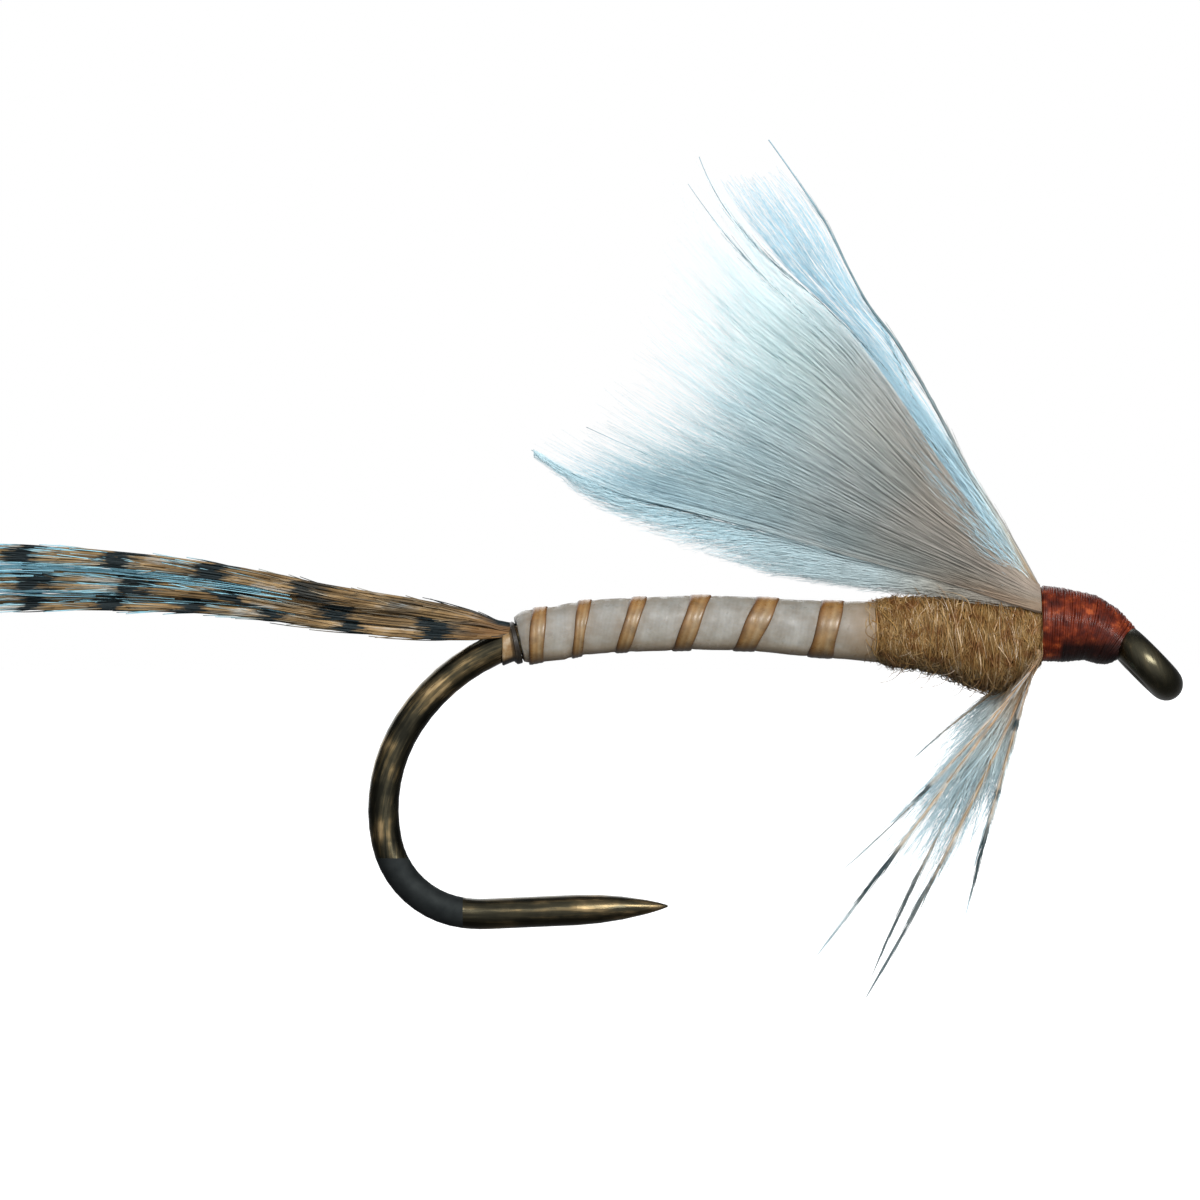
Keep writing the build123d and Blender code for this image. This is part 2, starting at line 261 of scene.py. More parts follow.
class Nodes:
    """A node tree, with short calls for the nodes that this script uses."""

    def __init__(self, tree):
        self.tree = tree

    def node(self, kind, **settings):
        made = self.tree.nodes.new(kind)
        for key, value in settings.items():
            setattr(made, key, value)
        return made

    def link(self, source, target):
        self.tree.links.new(source, target)

    def value(self, name):
        """A value stored on the mesh."""
        return self.node("ShaderNodeAttribute", attribute_name=name).outputs["Fac"]

    def place(self):
        """Position in the row frame, in metres."""
        return self.node("ShaderNodeTexCoord").outputs["Object"]

    def axes(self):
        split = self.node("ShaderNodeSeparateXYZ")
        self.link(self.place(), split.inputs[0])
        return split.outputs

    def math(self, operation, first, second=None, third=None):
        made = self.node("ShaderNodeMath", operation=operation)
        for socket, source in zip(made.inputs, (first, second, third)):
            if source is None:
                continue
            if isinstance(source, (int, float)):
                socket.default_value = source
            else:
                self.link(source, socket)
        return made.outputs[0]

    def noise(self, size_mm, detail=2.0, stretch=(1, 1, 1), rough=0.5):
        """Noise with features of about size_mm, drawn out along an axis by stretch."""
        scale = self.node("ShaderNodeVectorMath", operation="MULTIPLY")
        self.link(self.place(), scale.inputs[0])
        scale.inputs[1].default_value = [1 / (size_mm * MM * s) for s in stretch]
        made = self.node("ShaderNodeTexNoise")
        made.inputs["Scale"].default_value = 1.0
        made.inputs["Detail"].default_value = detail
        made.inputs["Roughness"].default_value = rough
        self.link(scale.outputs[0], made.inputs["Vector"])
        return made.outputs["Fac"]

    def ramp(self, source, *stops):
        """Colours or grey levels along a value: (place, colour) pairs."""
        made = self.node("ShaderNodeValToRGB")
        elements = made.color_ramp.elements
        while len(elements) < len(stops):
            elements.new(0.5)
        for element, (place, colour) in zip(elements, stops):
            element.position = place
            if isinstance(colour, (int, float)):
                colour = (colour, colour, colour)
            element.color = (*colour, 1)
        self.link(source, made.inputs["Fac"])
        return made.outputs["Color"]

    def mix(self, share, first, second, blend="MIX"):
        made = self.node("ShaderNodeMix", data_type="RGBA", blend_type=blend)
        for socket, source in ((made.inputs[0], share), (made.inputs[6], first), (made.inputs[7], second)):
            if isinstance(source, (int, float)):
                socket.default_value = source
            elif isinstance(source, tuple):
                socket.default_value = (*source, 1)
            else:
                self.link(source, socket)
        return made.outputs[2]

    def tint(self, first, second):
        """The first colour times the second."""
        return self.mix(1.0, first, second, "MULTIPLY")

    def limit(self, source):
        """The value, held between 0 and 1."""
        return self.math("MINIMUM", self.math("MAXIMUM", source, 0.0), 1.0)


class Paint(Nodes):
    """A material: its nodes, and its shader with some sockets set."""

    def __init__(self, name, **sockets):
        self.material = bpy.data.materials.new(name)
        self.material.use_nodes = True
        super().__init__(self.material.node_tree)
        self.shader = self.tree.nodes["Principled BSDF"]
        for key, value in sockets.items():
            self.shader.inputs[key.replace("_", " ")].default_value = value

    def colour(self, source):
        self.link(source, self.shader.inputs["Base Color"])

    def roughness(self, source):
        self.link(source, self.shader.inputs["Roughness"])

    def bump(self, source, height_mm, strength=1.0):
        made = self.node("ShaderNodeBump")
        made.inputs["Strength"].default_value = strength
        made.inputs["Distance"].default_value = height_mm * MM
        self.link(source, made.inputs["Height"])
        self.link(made.outputs[0], self.shader.inputs["Normal"])


# Streaks on the wire circle a point inside the bend, and below a level they run along the point
STREAK_CENTRE = (-11.9, -3.6)
POINT_LEVEL_Z = -4.05
DULL_BAND_X = -14.23


def bronzed_wire():
    """Bronzed steel, rubbed to brass in streaks along the wire, with a dull band on the bend."""
    p = Paint("bronzed_wire", Metallic=1.0)
    x, y, z = p.axes()
    dx = p.math("SUBTRACT", x, STREAK_CENTRE[0] * MM)
    dz = p.math("SUBTRACT", z, STREAK_CENTRE[1] * MM)
    far = p.math("SQRT", p.math("ADD", p.math("MULTIPLY", dx, dx), p.math("MULTIPLY", dz, dz)))
    below = p.math("LESS_THAN", z, POINT_LEVEL_Z * MM)
    round_part = p.math("MULTIPLY", far, p.math("SUBTRACT", 1.0, below))
    line = p.math("ADD", round_part, p.math("MULTIPLY", z, below))
    join = p.node("ShaderNodeCombineXYZ")
    p.link(p.math("MULTIPLY", line, 1 / (0.10 * MM)), join.inputs[0])
    p.link(p.math("MULTIPLY", y, 1 / (0.14 * MM)), join.inputs[1])
    p.link(p.math("MULTIPLY", p.math("ADD", x, z), 1 / (1.5 * MM)), join.inputs[2])
    drawn = p.node("ShaderNodeTexNoise")
    drawn.inputs["Scale"].default_value = 1.0
    drawn.inputs["Detail"].default_value = 3.0
    drawn.inputs["Roughness"].default_value = 0.6
    p.link(join.outputs[0], drawn.inputs["Vector"])
    patches = p.math("MULTIPLY", p.math("ADD", p.noise(0.7, 3.0), drawn.outputs["Fac"]), 0.5)
    metal = p.ramp(
        patches,
        (0.40, (0.022, 0.021, 0.015)), (0.49, (0.055, 0.048, 0.030)), (0.56, (0.15, 0.11, 0.055)),
        (0.65, (0.46, 0.32, 0.16)),
    )
    metal = p.mix(p.math("MULTIPLY", below, 0.45), metal, (0.045, 0.040, 0.026))
    plain = p.limit(p.math("MULTIPLY_ADD", x, 1 / (0.3 * MM), 4.0))
    metal = p.mix(p.math("MULTIPLY", plain, 0.8), metal, (0.075, 0.068, 0.045))
    behind = p.math("LESS_THAN", x, DULL_BAND_X * MM)
    band = p.math("MULTIPLY", below, behind)
    dull = p.ramp(p.noise(0.25, 3.0), (0.3, (0.026, 0.030, 0.031)), (0.8, (0.046, 0.052, 0.052)))
    p.colour(p.mix(band, metal, dull))
    shine = p.ramp(drawn.outputs["Fac"], (0.3, 0.20), (0.75, 0.34))
    p.roughness(p.mix(band, shine, (0.75, 0.75, 0.75)))
    p.bump(drawn.outputs["Fac"], 0.010, 0.6)
    return p.material


def floss():
    """White floss, glossy: brown along the underside, partly the thread under it showing through and partly
    painted shade; painted light low on its flank; painted shade along its top edge.
    """
    p = Paint(
        "white_floss", Specular_IOR_Level=0.45, Subsurface_Weight=0.25, Subsurface_Scale=1.0,
        Subsurface_Radius=(0.25 * MM, 0.18 * MM, 0.12 * MM),
    )
    base = p.ramp(
        p.noise(0.35, 3.0, rough=0.6),
        (0.30, (0.215, 0.196, 0.166)), (0.50, (0.265, 0.256, 0.230)), (0.72, (0.335, 0.330, 0.310)),
    )
    strands = p.ramp(p.value("strand"), (0.0, 0.94), (0.6, 1.0), (1.0, 1.03))
    base = p.tint(base, strands)
    # painted light: the floss is made lighter low on its flank, towards the underside
    painted_underside_light = p.ramp(p.value("under"), (0.50, 1.0), (0.78, (1.35, 1.33, 1.28)), (0.93, (1.9, 1.8, 1.6)))
    base = p.tint(base, painted_underside_light)
    # painted shade along the very bottom, with the thread under the floss partly showing through there too
    shade = p.ramp(p.value("under"), (0.0, 0.0), (0.78, 0.05), (0.95, 0.65), (1.0, 0.9))
    base = p.mix(shade, base, (0.250, 0.165, 0.092))
    # painted shade: darker and browner along the top edge of the floss
    painted_top_shade = p.ramp(p.value("under"), (0.0, 0.7), (0.04, 0.45), (0.12, 0.0))
    base = p.mix(painted_top_shade, base, (0.215, 0.180, 0.130))
    stain = p.ramp(p.value("beside"), (0.0, 0.0), (0.35, 0.15), (1.0, 0.55))
    base = p.mix(stain, base, (0.235, 0.160, 0.092))
    front = p.ramp(p.value("front"), (0.0, 0.0), (0.885, 0.0), (0.93, 0.45), (1.0, 0.85))
    p.colour(p.mix(front, base, (0.25, 0.165, 0.085)))
    p.roughness(p.ramp(p.noise(0.22, 2.0), (0.36, 0.27), (0.56, 0.62)))
    p.bump(p.noise(0.03, 2.0, (1, 5, 5)), 0.003, 0.3)
    return p.material


def strip():
    """Tan quill strip: dark rear edge, fine lines along it, a gloss of varnish."""
    p = Paint("tan_strip", Specular_IOR_Level=0.55)
    lines = p.ramp(
        p.value("across"),
        (0.0, (0.110, 0.046, 0.012)), (0.16, (0.205, 0.105, 0.030)), (0.32, (0.31, 0.193, 0.082)),
        (0.50, (0.265, 0.155, 0.058)), (0.66, (0.325, 0.226, 0.118)), (0.86, (0.245, 0.146, 0.056)),
        (1.0, (0.155, 0.074, 0.024)),
    )
    stain = p.ramp(p.noise(0.22, 4.0, rough=0.65), (0.30, 0.62), (0.6, 1.0), (0.8, 1.12))
    tint = p.tint(lines, stain)
    amber = p.ramp(p.value("under"), (0.0, (1.0, 0.78, 0.48)), (0.14, (1.0, 0.86, 0.66)), (0.36, 1.0))
    tint = p.tint(tint, amber)
    shade = p.ramp(p.value("under"), (0.0, 0.0), (0.80, 0.05), (1.0, 0.75))
    p.colour(p.mix(shade, tint, (0.075, 0.034, 0.012)))
    p.roughness(p.ramp(p.noise(0.12, 2.0), (0.3, 0.24), (0.8, 0.45)))
    p.bump(p.noise(0.035, 2.0, (1, 4, 4)), 0.004, 0.4)
    return p.material


def thread(name, dark, mid, light, coat, least=0.72):
    """Waxed or varnished tying thread: twisted filaments that vary a little along it."""
    p = Paint(name, Specular_IOR_Level=0.5, Coat_Weight=coat, Coat_Roughness=0.16)
    base = p.ramp(p.noise(0.22, 4.0, rough=0.65), (0.28, dark), (0.5, mid), (0.78, light))
    # tone: a tone that differs along the thread; on the tail tie turns it carries painted light and shade
    tone = p.ramp(p.value("tone"), (0.0, least), (1.0, 1.25))
    p.colour(p.tint(base, tone))
    p.roughness(p.ramp(p.noise(0.08, 2.0), (0.3, 0.34), (0.8, 0.6)))
    p.bump(p.noise(0.022, 2.0, (1, 3, 3)), 0.006, 0.6)
    return p.material


def varnished_rust():
    """Rust thread under varnish, orange-red, with painted shade that makes it almost black low on the front
    of the head.
    """
    p = Paint("rust_thread", Specular_IOR_Level=0.12, Coat_Weight=0.20, Coat_Roughness=0.12)
    base = p.ramp(
        p.noise(0.24, 4.0, rough=0.6),
        (0.28, (0.036, 0.005, 0.003)), (0.45, (0.085, 0.011, 0.004)), (0.58, (0.160, 0.024, 0.007)),
        (0.72, (0.38, 0.078, 0.020)),
    )
    tone = p.ramp(p.value("tone"), (0.0, 0.7), (1.0, 1.3))
    base = p.tint(base, tone)
    x, _, z = p.axes()
    # painted shade: almost black low down on the front part of the head
    low = p.limit(p.math("MULTIPLY_ADD", z, -1 / (0.24 * MM), 2.5))
    front = p.limit(p.math("MULTIPLY_ADD", x, 1 / (0.10 * MM), 18.6))
    painted_underside_shade = p.math("MULTIPLY", p.math("MULTIPLY", low, front), 0.9)
    p.colour(p.mix(painted_underside_shade, base, (0.007, 0.004, 0.004)))
    p.roughness(p.ramp(p.noise(0.08, 2.0), (0.3, 0.30), (0.8, 0.55)))
    p.bump(p.noise(0.05, 3.0), 0.010, 0.7)
    return p.material


def fur():
    """Golden tan dubbing with olive, pale and dark brown hairs in it."""
    p = Paint("fur_dubbing", Roughness=0.6, Specular_IOR_Level=0.3)
    hair = p.ramp(
        p.value("tone"),
        (0.00, (0.15, 0.064, 0.018)), (0.12, (0.22, 0.112, 0.030)), (0.35, (0.29, 0.172, 0.054)),
        (0.62, (0.36, 0.225, 0.082)), (0.84, (0.50, 0.355, 0.180)), (1.0, (0.82, 0.70, 0.56)),
    )
    patches = p.ramp(
        p.noise(0.27),
        (0.32, (0.70, 0.50, 0.38)), (0.5, (1.02, 0.94, 0.84)), (0.68, (1.28, 1.32, 1.50)),
    )
    hair = p.tint(hair, patches)
    shade = p.ramp(p.value("under"), (0.0, 0.0), (0.72, 0.05), (0.95, 0.50), (1.0, 0.65))
    p.colour(p.mix(shade, hair, (0.085, 0.068, 0.042)))
    p.bump(p.noise(0.02), 0.004, 0.4)
    return p.material


def plume():
    """Pale dun feather: warm at the roots, blue-grey, and almost white at the tips."""
    p = Paint("wing_plume", Roughness=0.6)
    reach = p.math("ADD", p.value("reach"), p.math("MULTIPLY", p.value("tone"), 0.06))
    base = p.ramp(
        reach,
        (0.00, (0.42, 0.340, 0.275)), (0.18, (0.39, 0.345, 0.298)), (0.36, (0.40, 0.398, 0.372)),
        (0.54, (0.53, 0.60, 0.61)), (0.66, (0.68, 0.81, 0.84)), (0.78, (0.74, 0.90, 0.95)),
        (1.0, (0.72, 0.91, 0.98)),
    )
    band = p.ramp(
        p.value("share"),
        (0.0, (1.30, 1.26, 1.24)), (0.22, (1.26, 1.22, 1.18)), (0.50, (1.04, 1.03, 1.02)),
        (0.78, (0.80, 0.86, 0.87)), (0.93, (0.84, 0.92, 0.95)), (1.0, (1.10, 1.12, 1.12)),
    )
    base = p.tint(base, band)
    lowest = p.ramp(p.value("share"), (0.0, 0.0), (0.62, 0.0), (0.92, 0.75))
    rooted = p.ramp(p.value("reach"), (0.0, 1.0), (0.10, 0.9), (0.27, 0.0))
    base = p.mix(p.tint(lowest, rooted), base, (0.34, 0.23, 0.145))
    tone = p.ramp(p.value("tone"), (0.0, 0.90), (0.5, 1.0), (1.0, 1.05))
    base = p.tint(base, tone)
    patches = p.ramp(
        p.noise(1.3), (0.36, (0.88, 0.92, 0.93)), (0.62, (1.03, 1.02, 1.01))
    )
    p.colour(p.tint(base, patches))
    return p.material


def down():
    """White down with a cold cast, peach where it meets the thread."""
    p = Paint("down", Roughness=0.6)
    base = p.ramp(
        p.value("reach"),
        (0.00, (0.40, 0.255, 0.14)), (0.25, (0.52, 0.42, 0.30)), (0.46, (0.78, 0.87, 0.86)),
        (1.0, (0.74, 0.95, 1.0)),
    )
    base = p.mix(p.value("cold"), base, (0.50, 0.81, 0.97))
    tone = p.ramp(p.value("tone"), (0.0, 0.85), (1.0, 1.06))
    base = p.tint(base, tone)
    patches = p.ramp(p.noise(0.8), (0.3, 0.9), (0.7, 1.03))
    p.colour(p.tint(base, patches))
    return p.material


def guard():
    """Slate guard fibres of the wing."""
    p = Paint("wing_guard", Roughness=0.5)
    base = p.ramp(
        p.value("along"),
        (0.0, (0.30, 0.27, 0.235)), (0.3, (0.24, 0.28, 0.28)), (0.55, (0.13, 0.21, 0.235)),
        (0.75, (0.19, 0.30, 0.34)), (1.0, (0.30, 0.46, 0.54)),
    )
    patches = p.ramp(p.noise(0.5, 3.0), (0.3, 0.7), (0.7, 1.25))
    p.colour(p.tint(base, patches))
    return p.material


def barred_tail():
    """Tan feather fibres crossed by ragged dark bars."""
    p = Paint("barred_fibre", Roughness=0.55, Specular_IOR_Level=0.22)
    ragged = p.math("MULTIPLY", p.math("SUBTRACT", p.noise(0.17, 3.0, (2.5, 1, 1), 0.6), 0.5), 0.42)
    station = p.math("FRACT", p.math("ADD", p.value("bar"), ragged))
    ink = p.ramp(station, (0.0, 0.0), (0.05, 0.5), (0.10, 1.0), (0.34, 1.0), (0.40, 0.5), (0.46, 0.0))
    ink = p.math("MULTIPLY", ink, p.math("SUBTRACT", 1.0, p.value("fading")))
    mottle = p.ramp(p.noise(0.16, 4.0, (2.2, 1, 1), 0.7), (0.54, 0.0), (0.68, 0.8))
    ink = p.math("MAXIMUM", ink, p.math("MULTIPLY", mottle, 0.55))
    ink = p.math("MAXIMUM", ink, p.value("shade"))
    tan = p.ramp(
        p.noise(0.30, 4.0, (5, 1, 1), 0.6),
        (0.28, (0.130, 0.068, 0.025)), (0.42, (0.28, 0.155, 0.060)), (0.55, (0.44, 0.260, 0.115)),
        (0.66, (0.62, 0.54, 0.46)),
    )
    tone = p.ramp(p.value("tone"), (0.0, 0.5), (0.5, 0.95), (1.0, 1.25))
    tan = p.tint(tan, tone)
    rooted = p.ramp(p.value("along"), (0.0, 0.85), (0.06, 0.65), (0.15, 0.0))
    tan = p.mix(rooted, tan, (0.25, 0.105, 0.032))
    edge = p.ramp(p.value("fringe"), (0.0, 0.0), (0.20, 0.15), (0.55, 0.9))
    tan = p.tint(tan, (0.76, 0.85, 0.90))
    tan = p.mix(edge, tan, (0.38, 0.78, 0.94))
    p.colour(p.mix(ink, tan, (0.010, 0.018, 0.021)))
    p.bump(p.noise(0.02, 2.0, (8, 1, 1)), 0.004, 0.4)
    return p.material


def barred_hackle():
    """Cream hackle fibres with an amber midline and dark bars."""
    p = Paint("hackle_fibre", Roughness=0.5)
    base = p.ramp(
        p.value("reach"),
        (0.0, (0.40, 0.24, 0.13)), (0.35, (0.50, 0.36, 0.22)), (0.62, (0.52, 0.44, 0.34)),
        (0.85, (0.40, 0.48, 0.50)), (1.0, (0.42, 0.60, 0.68)),
    )
    edge = p.ramp(p.value("fringe"), (0.0, 0.0), (0.5, 0.45), (1.0, 0.8))
    base = p.mix(edge, base, (0.62, 0.70, 0.72))
    tone = p.ramp(p.noise(0.25, 3.0), (0.3, 0.8), (0.7, 1.15))
    base = p.tint(base, tone)
    ragged = p.math("SUBTRACT", p.noise(0.10, 2.0), 0.5)
    dark = p.math("ADD", p.value("dark"), p.math("MULTIPLY", ragged, 0.5))
    ink = p.ramp(dark, (0.0, 0.0), (0.30, 0.0), (0.60, 0.7), (0.95, 1.0))
    p.colour(p.mix(ink, base, (0.024, 0.052, 0.060)))
    return p.material


# ---------------------------------------------------------------- body of the fly


def body_frame(x):
    """Centre of the body at station x, and the way up there."""
    behind = np.maximum(SHANK_REAR_X - x, 0)
    turn = np.arcsin(np.minimum(behind / BEND_R, 1))
    zero = np.zeros_like(x)
    lift = np.interp(x, *np.transpose(BODY_LIFT))
    centre = np.stack([x, zero, SHANK_Z + lift - BEND_R * (1 - np.cos(turn))], -1)
    return centre, np.stack([-np.sin(turn), zero, np.cos(turn)], -1)


def body_points(x, angle, radius):
    """Points round the body: angle 0 is its bottom and a quarter turn the near side."""
    centre, up = body_frame(x)
    side = np.broadcast_to(-ACROSS, up.shape)
    outward = up * -np.cos(angle)[..., None] + side * np.sin(angle)[..., None]
    return (centre + outward * radius[..., None]).reshape(-1, 3)


def round_points(x, angle, radius, height):
    """Points round a level line at a height, with angles as on the body."""
    return np.stack([x, -radius * np.sin(angle), height - radius * np.cos(angle)], -1)


def rib_station(turns):
    """Station of the rib: it crosses the near side of the body in a straight slant."""
    whole = np.clip(np.floor(turns).astype(int), 0, 5)
    share = turns - whole
    bottom, top = np.array(RIB_BOTTOM), np.array(RIB_TOP)
    near = bottom[whole] + (top - bottom)[whole] * (1 - np.cos(TURN * share)) / 2
    back = (1 + np.cos(TURN * share)) / 2
    far = top[whole] + (bottom[whole + 1] - top[whole]) * back
    return np.where(share < 0.5, near, far)


def rib_distance(x, angle):
    """How far, along the body, a point is from the middle of the nearest turn of the rib."""
    best = np.full(x.shape, 9.0)
    for whole in range(-1, 7):
        turns = whole + angle / TURN
        inside = (turns >= 0) & (turns <= RIB_TURNS)
        far = np.abs(x - rib_station(np.clip(turns, 0, RIB_TURNS)))
        best = np.where(inside, np.minimum(best, far), best)
    return best


def build_abdomen():
    """Floss tube: fine wound strands, sunk a little beside the rib."""
    steps, sides = 560, 110
    rng = np.random.default_rng(11)
    share = np.linspace(0, 1, steps)[:, None]
    angle = np.arange(sides)[None, :] * TURN / sides
    rear = BODY_REAR_X - 0.02 + 0.02 * np.sin(3 * angle) - 0.10 * np.clip(np.cos(angle), 0, 1)
    x = rear + (BODY_FRONT_X - rear) * share
    into = (x - rear) / 0.28
    shoulder = np.clip(into, 0, 1)
    radius = BODY_R + np.interp(x, *np.transpose(BODY_SWELL)) - 0.10 * (1 - shoulder) ** 2
    beside = np.exp(-((rib_distance(x, angle) - 0.19) / 0.09) ** 2)
    radius = radius - 0.012 * beside + 0.006 * np.sin(5.1 * x + angle) * np.cos(2.3 * x)
    slanted = x + 0.12 * np.cos(angle) + 0.02 * np.sin(2 * angle + 4 * x)
    lay = 0.5 + 0.25 * np.cos(TURN * slanted / 0.083 + 2.5 * np.sin(3.3 * x))
    lay = lay + 0.25 * np.cos(TURN * slanted / 0.21 + 1.7 * np.sin(1.9 * x))
    radius = radius + 0.0013 * lay + rng.normal(0, 0.0003, x.shape)
    radius = np.where(share < 0.001, radius - 0.05, radius)
    values = {
        "under": np.broadcast_to(0.5 + 0.5 * np.cos(angle), x.shape),
        "strand": lay,
        "front": np.broadcast_to(share, x.shape),
        "beside": np.exp(-(rib_distance(x, angle) / 0.30) ** 2),
    }
    points = body_points(x, angle, radius)
    piece = write_mesh("abdomen_floss_winding", points, ring_faces(1, steps, sides), values)
    dress(piece, floss(), "abdomen_floss")


def build_rib():
    """The flat strip: ridged on top, its edges bedded in the floss."""
    steps = round(RIB_TURNS * 90)
    turns = np.linspace(0, RIB_TURNS, steps)
    angle = (TURN * turns)[:, None]
    across = np.array([-1, -0.96, -0.8, -0.6, -0.4, -0.2, 0, 0.2, 0.4, 0.6, 0.8, 0.96, 1, 0.6, 0, -0.6])
    top = 13
    width = np.interp(turns, np.arange(len(RIB_WIDTH)), RIB_WIDTH)[:, None] / 2
    ragged = 1 + 0.05 * np.sin(9.1 * turns)[:, None] + 0.04 * np.sin(23.7 * turns + 1)[:, None]
    x = rib_station(turns)[:, None] + across[None, :] * width * ragged
    lift = 0.022 + 0.003 * np.cos(across * 3 * math.pi) - 0.012 * np.abs(across) ** 6
    lift[0] = lift[top - 1] = -0.012
    lift[top:] = -0.03
    swell = np.interp(x, *np.transpose(BODY_SWELL))
    ridge = 0.004 * np.sin(40 * turns)[:, None] * across**2
    radius = BODY_R + swell + lift + ridge
    values = {
        "across": np.broadcast_to(0.5 + 0.5 * across[None, :], x.shape),
        "under": np.broadcast_to(0.5 + 0.5 * np.cos(angle), x.shape),
    }
    points = body_points(x, angle, radius)
    piece = write_mesh("rib_strip_winding", points, ring_faces(1, steps, len(across)), values)
    dress(piece, strip(), "rib_strip")


def build_tie_turns():
    """Turns of thread round the wire and under the tail, just behind the body."""
    steps = 760
    share = np.linspace(0, 1, steps)
    angle = TURN * 11.45 * share
    x = TIE_REAR_X + (0.28 + 0.10 * np.cos(angle)) * share
    wire_z = SHANK_Z - BEND_R + np.sqrt(BEND_R**2 - (SHANK_REAR_X - x) ** 2)
    # the rear turns go under the tail, close to the wire; the front ones bind it down
    from_bottom = np.degrees(np.arccos(np.cos(angle)))
    front = np.clip((share - 0.58) / 0.22, 0, 1)
    under = np.clip((from_bottom - 112) / 18, 0, 1) * (1 - front)
    radius = 0.388 - 0.09 * under + front * (0.050 + 0.045 * np.cos(angle))
    path = round_points(x, angle, radius, wire_z)[None]
    # painted light and shade: the flank of the rear turns is pale, painted light where the lump is lit, and
    # painted shade makes them dark below and where they meet the body
    tone = 0.68 * np.clip((from_bottom - 36) / 16, 0, 1) * np.clip(2.2 - 2.7 * share, 0, 1)
    piece = tubes("tail_tie_thread", path, np.full((1, steps), 0.036), sides=8, tone=tone[None, :])
    tan = thread("tan_thread", (0.22, 0.105, 0.028), (0.34, 0.21, 0.09), (0.50, 0.41, 0.28), 0.1, 0.04)
    dress(piece, tan, "tail_tie_turns")


def along_stations(stations, x):
    """Values of a station table at x."""
    table = np.array(stations, float)
    return [np.interp(x, table[:, 0], table[:, c]) for c in range(1, table.shape[1])]


def build_thorax():
    """Dubbed fur: a bumpy core, hairs wound round it, loops and loose ends."""
    rng = np.random.default_rng(23)
    steps, sides = 90, 72
    share = np.linspace(0, 1, steps)[:, None]
    angle = np.arange(sides)[None, :] * TURN / sides
    x = -5.66 + (-2.22 + 5.66) * share + 0 * angle
    height, girth = along_stations(THORAX, x)
    lumps = 0.02 * np.sin(7.0 * x + 2 * angle) + 0.02 * np.sin(11.0 * x - 3 * angle)
    radius = girth * 0.93 + lumps - 0.16 * np.clip((-5.45 - x) / 0.27, 0, 1) ** 2
    points = round_points(x, angle, radius, height).reshape(-1, 3)
    low = (0.5 + 0.5 * np.cos(angle)) + 0 * x
    core = write_mesh(
        "thorax_dubbing_core", points, ring_faces(1, steps, sides),
        {"tone": np.full(x.shape, 0.22) + 0.1 * np.sin(9 * x + angle), "under": low},
    )

    count, knots = 3000, 15
    t = np.linspace(0, 1, knots)[None, :]
    x0 = -5.65 + 3.37 * rng.uniform(0, 1, (count, 1)) ** 0.93
    sweep = rng.uniform(0.8, 3.4, (count, 1)) * rng.choice([-1, 1], (count, 1), p=[0.2, 0.8])
    a = rng.uniform(0, TURN, (count, 1)) + sweep * t
    drift = rng.normal(0, 0.22, (count, 1)) * t
    loops = rng.random((count, 1)) < 0.3
    curl = np.where(loops, 0.15, rng.uniform(0.02, 0.07, (count, 1))) * np.sin(
        rng.uniform(0, 6.3, (count, 1)) + rng.uniform(4, 12, (count, 1)) * t
    )
    xs = np.clip(x0 + drift + curl, -5.86, -2.2)
    height, girth = along_stations(THORAX, xs)
    puff = rng.uniform(0.0, 1.0, (count, 1)) ** 2.2
    lift = 0.955 + 0.05 * puff + 0.05 * puff * np.sin(math.pi * t)
    free_end = np.where(rng.random((count, 1)) < 0.25, 0.16, 0.02) * t**3
    r = girth * lift + free_end * girth + 0.015 * np.sin(17 * t + x0 * 30)
    paths = round_points(xs, a, r, height)
    radii = (0.006 + 0.013 * rng.random((count, 1)) ** 3) * (1 - 0.55 * t**2)
    tone = np.clip(rng.beta(2.0, 1.9, count), 0, 1)
    low = 0.5 + 0.5 * np.cos(a)
    hairs = tube_groups("thorax_dubbing_hairs", 2, paths, radii, 3, tone=tone, under=low)

    count, knots = 260, 14
    t = np.linspace(0, 1, knots)[None, :]
    x0 = rng.uniform(-5.4, -2.5, (count, 1))
    low_half = rng.random((count, 1)) < 0.75
    a = np.where(low_half, rng.normal(0, 0.9, (count, 1)), rng.uniform(0, 6.28, (count, 1)))
    bend = rng.normal(0, 0.9, (count, 1)) * t
    height, girth = along_stations(THORAX, x0)
    length = rng.uniform(0.10, 0.34, (count, 1)) + 0.4 * (rng.random((count, 1)) < 0.06)
    r = girth * 0.93 + length * 0.75 * np.sin(t * 1.45)
    xs = x0 - length * (0.15 + 0.9 * t) * t
    paths = round_points(xs, a + bend, r, height)
    radii = rng.uniform(0.005, 0.010, (count, 1)) * (1 - 0.75 * t)
    tone = np.clip(rng.beta(2.0, 2.0, count) + 0.1, 0, 1)
    loose = tubes(
        "thorax_dubbing_ends", paths, radii, sides=3, tone=tone, under=0.5 + 0.3 * np.cos(a + bend)
    )
    hair = fur()
    dress(core, hair, "thorax_dubbing")
    for piece in (*hairs, loose):
        dress(piece, hair)


def head_frame(x):
    """Centre, up direction and half sizes of the thread head at station x."""
    height, turn, half_height, half_width = along_stations(HEAD, x)
    turn = np.radians(turn)
    zero = np.zeros_like(x)
    centre = np.stack([x, zero, height], -1)
    up = np.stack([np.sin(turn), zero, np.cos(turn)], -1)
    return centre, up, half_height, half_width


def head_points(x, angle, scale, lift=0.0):
    """Points round the thread head, at a scale of its size and lifted off it."""
    centre, up, half_height, half_width = head_frame(x)
    top = (half_height * scale + lift) * np.cos(angle)
    out = (half_width * scale + lift) * np.sin(angle)
    return centre + up * top[..., None] + ACROSS * -out[..., None]


